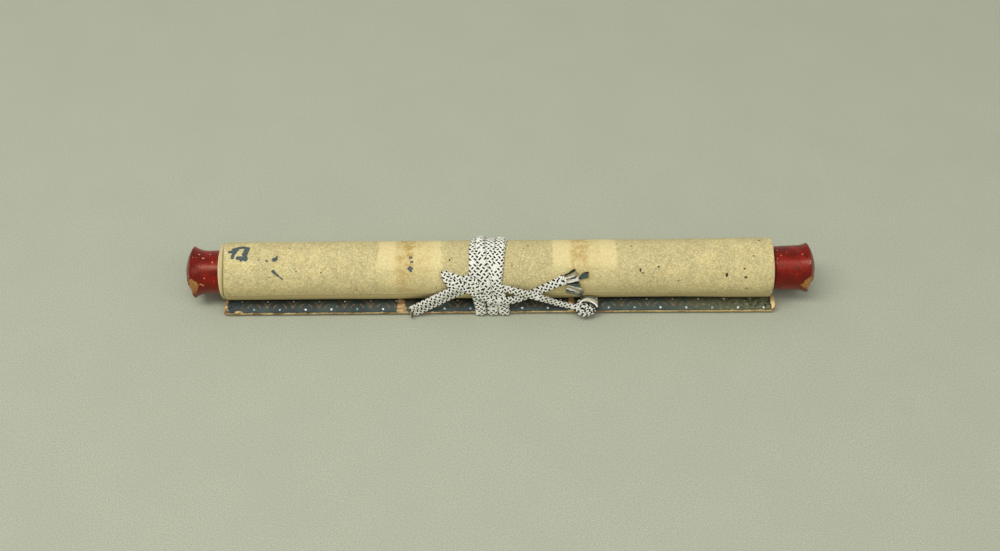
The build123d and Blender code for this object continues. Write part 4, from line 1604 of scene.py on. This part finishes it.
def add_sleeve():
    outer, inner = sleeve_section(SLEEVE), sleeve_section(SLEEVE_FIT)
    around = len(outer)
    arc = lengths_along(outer[:, :2])
    vertices, flat, tan = [], [], []
    for share in np.linspace(0, 1, FINE_COLUMNS):
        for (y, z, angle), s in zip(outer, arc):
            x = sleeve_x(share, angle, y)
            swell = 0.10 * wobble(x * 0.06, s * 0.3, 5.0) + 0.05 * wobble(x * 0.3, s * 0.8, 8.0)
            swell += 0.4 * float(smooth(x, 60, 165))
            vertices.append((x, y + swell * math.cos(angle), z + swell * math.sin(angle)))
            flat.append((x, s, 0.0))
            tan.append(tan_share(x, s, arc))
    first_inner = len(vertices)
    inner_columns = (0.0, 0.5, 1.0)
    for share in inner_columns:
        for (outer_y, _, _), (y, z, angle), s in zip(outer, inner, arc):
            vertices.append((sleeve_x(share, angle, outer_y), y, z))
            flat.append((0.0, s, 0.0))
            tan.append(1.0)
    faces = ring_faces(FINE_COLUMNS, around, flip=True) + ring_faces(len(inner_columns), around, first_inner)
    last_outer, last_inner = first_inner - around, len(vertices) - around
    for k in range(around):
        n = (k + 1) % around
        faces.append((k, n, first_inner + n, first_inner + k))
        faces.append((last_outer + n, last_outer + k, last_inner + k, last_inner + n))
    piece = add_object("stave_sleeve", vertices, faces, [band_material()])
    add_values(piece, "flat", flat, "FLOAT_VECTOR")
    add_values(piece, "tan", tan)
    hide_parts("scroll_sheet")


def tan_share(x, s, arc):
    """1 where the cloth has worn through to paper and wood, 0 where it is whole."""
    front_line = arc[CROWN_STEPS + 2] + 0.8
    share = raised(s, front_line - 0.6, front_line + 0.5, arc[-6], arc[-4])
    left = 1 - smooth(x, -176.5, -173.5)
    right = smooth(x, 171.6, 174.2)
    eyelet = 0.0
    for first, at_top, at_front in EYELET_WEAR:
        last = at_top + (at_front - at_top) * s / front_line
        eyelet = max(eyelet, raised(x, first - 0.4, first + 0.3, last - 0.4, last + 0.3))
    bump = 1 - smooth(math.hypot((x + 167.5) * 0.55, s - front_line), 1.0, 1.9)
    return float(max(share, left, right, eyelet, bump))


# Knobs

def signed_inside(points, polygon):
    """Distance to a polygon's edge, positive inside, for points of the picture."""
    points, polygon = np.asarray(points, float), np.asarray(polygon, float)
    nearest = np.full(len(points), 1e9)
    inside = np.zeros(len(points), bool)
    for a, b in zip(polygon, np.roll(polygon, -1, axis=0)):
        edge = b - a
        t = np.clip(((points - a) @ edge) / (edge @ edge), 0, 1)
        nearest = np.minimum(nearest, np.linalg.norm(points - a - t[:, None] * edge, axis=1))
        crosses = (a[1] > points[:, 1]) != (b[1] > points[:, 1])
        with np.errstate(divide="ignore", invalid="ignore"):
            at = a[0] + (points[:, 1] - a[1]) / (b[1] - a[1]) * edge[0]
        inside ^= crosses & (points[:, 0] < at)
    return np.where(inside, nearest, -nearest)


NECK_AND_FLARE = 20.6     # the knob's length from its seat to its rim
NECK_COLLAR = 1.6         # how far the neck reaches in over the rod
ROD_RADIUS = 11.2
DOME = 5.0
KNOB_SEGMENTS = 260
KNOBS = {
    "left_knob": dict(side=-1, waist=13.7, rim=16.5, flare=8.5),
    "right_knob": dict(side=1, waist=14.3, rim=15.8, flare=7.0),
}
# The outline of each knob's lost lacquer in the photograph
CHIPS = {
    "left_knob": [
        (187.2, 279.6), (191.6, 279.0), (197.9, 283.7), (198.4, 285.6), (197, 290.2), (195.4, 294.4),
        (192.6, 295.0), (189.0, 289.7), (187.0, 284.0),
    ],
    "right_knob": [
        (800.2, 285.8), (803, 283.1), (805.2, 280.6), (810.1, 277.4), (812.3, 275.2), (814.4, 277.0),
        (814.4, 281.3), (812.4, 286.6), (809.8, 290.4), (806.5, 289.5), (803, 287.2),
    ],
}
CHIP_SOFTNESS = 0.9
CHIP_REACH = (8.0, 5.5)   # on the end face, in from the rim: where chips end, and whole up to there
CHIP_DEPTH = 0.75


def knob_profile(waist, rim, flare):
    """The knob's outline from its seat to its tip, as distances along and radii."""
    start = NECK_AND_FLARE - flare
    rise = rim - waist
    bend = (flare**2 + rise**2) / (2 * rise)
    sphere = (rim**2 + DOME**2) / (2 * DOME)
    collar = [(0.0, ROD_RADIUS + 0.1), (-NECK_COLLAR, ROD_RADIUS + 0.1), (-NECK_COLLAR, NECK_RADIUS - 0.2)]
    neck = [(x, NECK_RADIUS + (waist - NECK_RADIUS) * max(x, 0) / start)
            for x in (-NECK_COLLAR + 0.15, *np.linspace(0, start, 22, endpoint=False))]
    curve = [(x, waist + bend - math.sqrt(bend**2 - (x - start) ** 2))
             for x in np.linspace(start, NECK_AND_FLARE - 0.35, 24)]
    edge = [(NECK_AND_FLARE - 0.45 + 0.5 * math.sin(a) * 0.9, rim - 0.5 + 0.42 * math.cos(a - 0.5))
            for a in np.radians(np.linspace(20, 100, 7))]
    dome = [(NECK_AND_FLARE + DOME - sphere + math.sqrt(sphere**2 - r**2), r)
            for r in np.linspace(rim - 0.75, 0.15, 40)]
    return np.array(collar + neck + curve + edge + dome)


def lost_lacquer(name, vertices, rim, on_dome):
    """1 where the knob's chip has taken the lacquer off, 0 where it is whole."""
    ragged = np.array([wobble(*(point * 0.5)) for point in vertices])
    from_axis = np.linalg.norm(vertices[:, 1:], axis=1) + 1.6 * ragged
    furthest, whole = CHIP_REACH
    reached = np.where(on_dome, smooth(from_axis, rim - furthest, rim - whole), 1.0)
    corners = [seen(px, py, 0.0) for px, py in CHIPS[name]]
    depth = signed_inside(camera_plane(vertices), corners)
    return smooth(depth, -CHIP_SOFTNESS, CHIP_SOFTNESS) * (towards_camera(vertices) > -2) * reached


def add_knob(name, side, waist, rim, flare):
    """A turned knob with worn rings and chips of lost lacquer."""
    profile = knob_profile(waist, rim, flare)
    seat = side * (KNOB_TIP - NECK_AND_FLARE - DOME)
    vertices = []
    for along, radius in profile:
        for k in range(KNOB_SEGMENTS):
            angle = math.tau * k / KNOB_SEGMENTS
            r = radius + 0.05 * wobble(along * 1.4, 3.0 * side)
            r += 0.06 * wobble(along * 0.2, math.cos(angle) * 2, math.sin(angle) * 2)
            vertices.append([seat + side * along, r * math.cos(angle), r * math.sin(angle)])
    vertices = np.array(vertices)
    bare = lost_lacquer(name, vertices, rim, np.repeat(profile[:, 0] > NECK_AND_FLARE, KNOB_SEGMENTS))
    sink = CHIP_DEPTH * smooth(bare, 0.45, 0.62)
    facets = np.array([wobble(*(point * 0.35)) for point in vertices])
    from_axis = np.maximum(np.linalg.norm(vertices[:, 1:], axis=1), 1e-6)
    inward = vertices * np.array([0, 1, 1]) / from_axis[:, None] * 0.7 + np.array([side * 0.7, 0, 0])
    vertices = vertices - inward * (sink * (1 + 0.35 * facets))[:, None]
    faces = closed_faces(len(profile), KNOB_SEGMENTS, flip=side > 0)
    piece = add_object(name + "_turned", vertices, faces, [LACQUER])
    add_values(piece, "bare", bare)
    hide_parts(name)


# Floor and light

def add_floor():
    mesh = bpy.data.meshes.new("floor")
    far = 3.0
    mesh.from_pydata([(-far, -far, 0), (far, -far, 0), (far, far, 0), (-far, far, 0)], [], [(0, 1, 2, 3)])
    floor = bpy.data.objects.new("floor", mesh)
    bpy.context.scene.collection.objects.link(floor)
    sh = Shader("floor")
    specks = sh.step(sh.noise(1.3, 2.0, 0.7), 0.36, 0.64)
    sh.colour = sh.mix(specks, srgb(160, 164, 143), srgb(184, 188, 165))
    sh.paint(sh.step(sh.noise(0.02, 3.0, 0.6), 0.3, 0.7) * 0.25, srgb(164, 168, 147))
    mesh.materials.append(sh.finish(0.95))


def add_lights():
    world_settings = bpy.data.worlds.new("world")
    bpy.context.scene.world = world_settings
    world_settings.use_nodes = True
    background = world_settings.node_tree.nodes["Background"]
    background.inputs["Color"].default_value = (1.0, 1.0, 1.0, 1.0)
    background.inputs["Strength"].default_value = 0.5
    for name, place, long_side, short_side, power in (
        ("key", (-0.48, -0.34, 1.5), 1.4, 0.45, 15.0),
        ("fill", (0.8, -0.8, 1.25), 1.2, 0.6, 4.2),
    ):
        light = bpy.data.lights.new(name, "AREA")
        light.shape = "RECTANGLE"
        light.size = long_side
        light.size_y = short_side
        light.energy = power
        lamp = bpy.data.objects.new(name, light)
        back = Vector(place).normalized()
        right = (Vector((1, 0, 0)) - back * back.x).normalized()
        turn = Matrix((right, back.cross(right), back)).transposed().to_4x4()
        lamp.matrix_world = Matrix.Translation(Vector(place)) @ turn
        bpy.context.scene.collection.objects.link(lamp)


add_camera()
CORD_MATERIALS, FRAY_MATERIALS = add_cord_materials()
add_cords()
SLEEVE_DOTS = (on_sleeve(LOWER_DOTS_AT), on_sleeve(UPPER_DOTS_AT))
add_roll()
add_sleeve()
LACQUER = lacquer_material()
for knob_name, facts in KNOBS.items():
    add_knob(knob_name, **facts)
for node_name, material in {
    "roller_rod": wood_material("rod_wood", WOOD, srgb(120, 84, 44)),
    "top_stave": wood_material("stave_wood", srgb(206, 172, 112), srgb(150, 106, 56)),
    "left_eyelet": wire_material(),
    "right_eyelet": wire_material(),
}.items():
    mesh = frame["nodes"][node_name].data
    mesh.materials.clear()
    mesh.materials.append(material)
add_floor()
add_lights()

bpy.context.scene.view_settings.view_transform = "Standard"
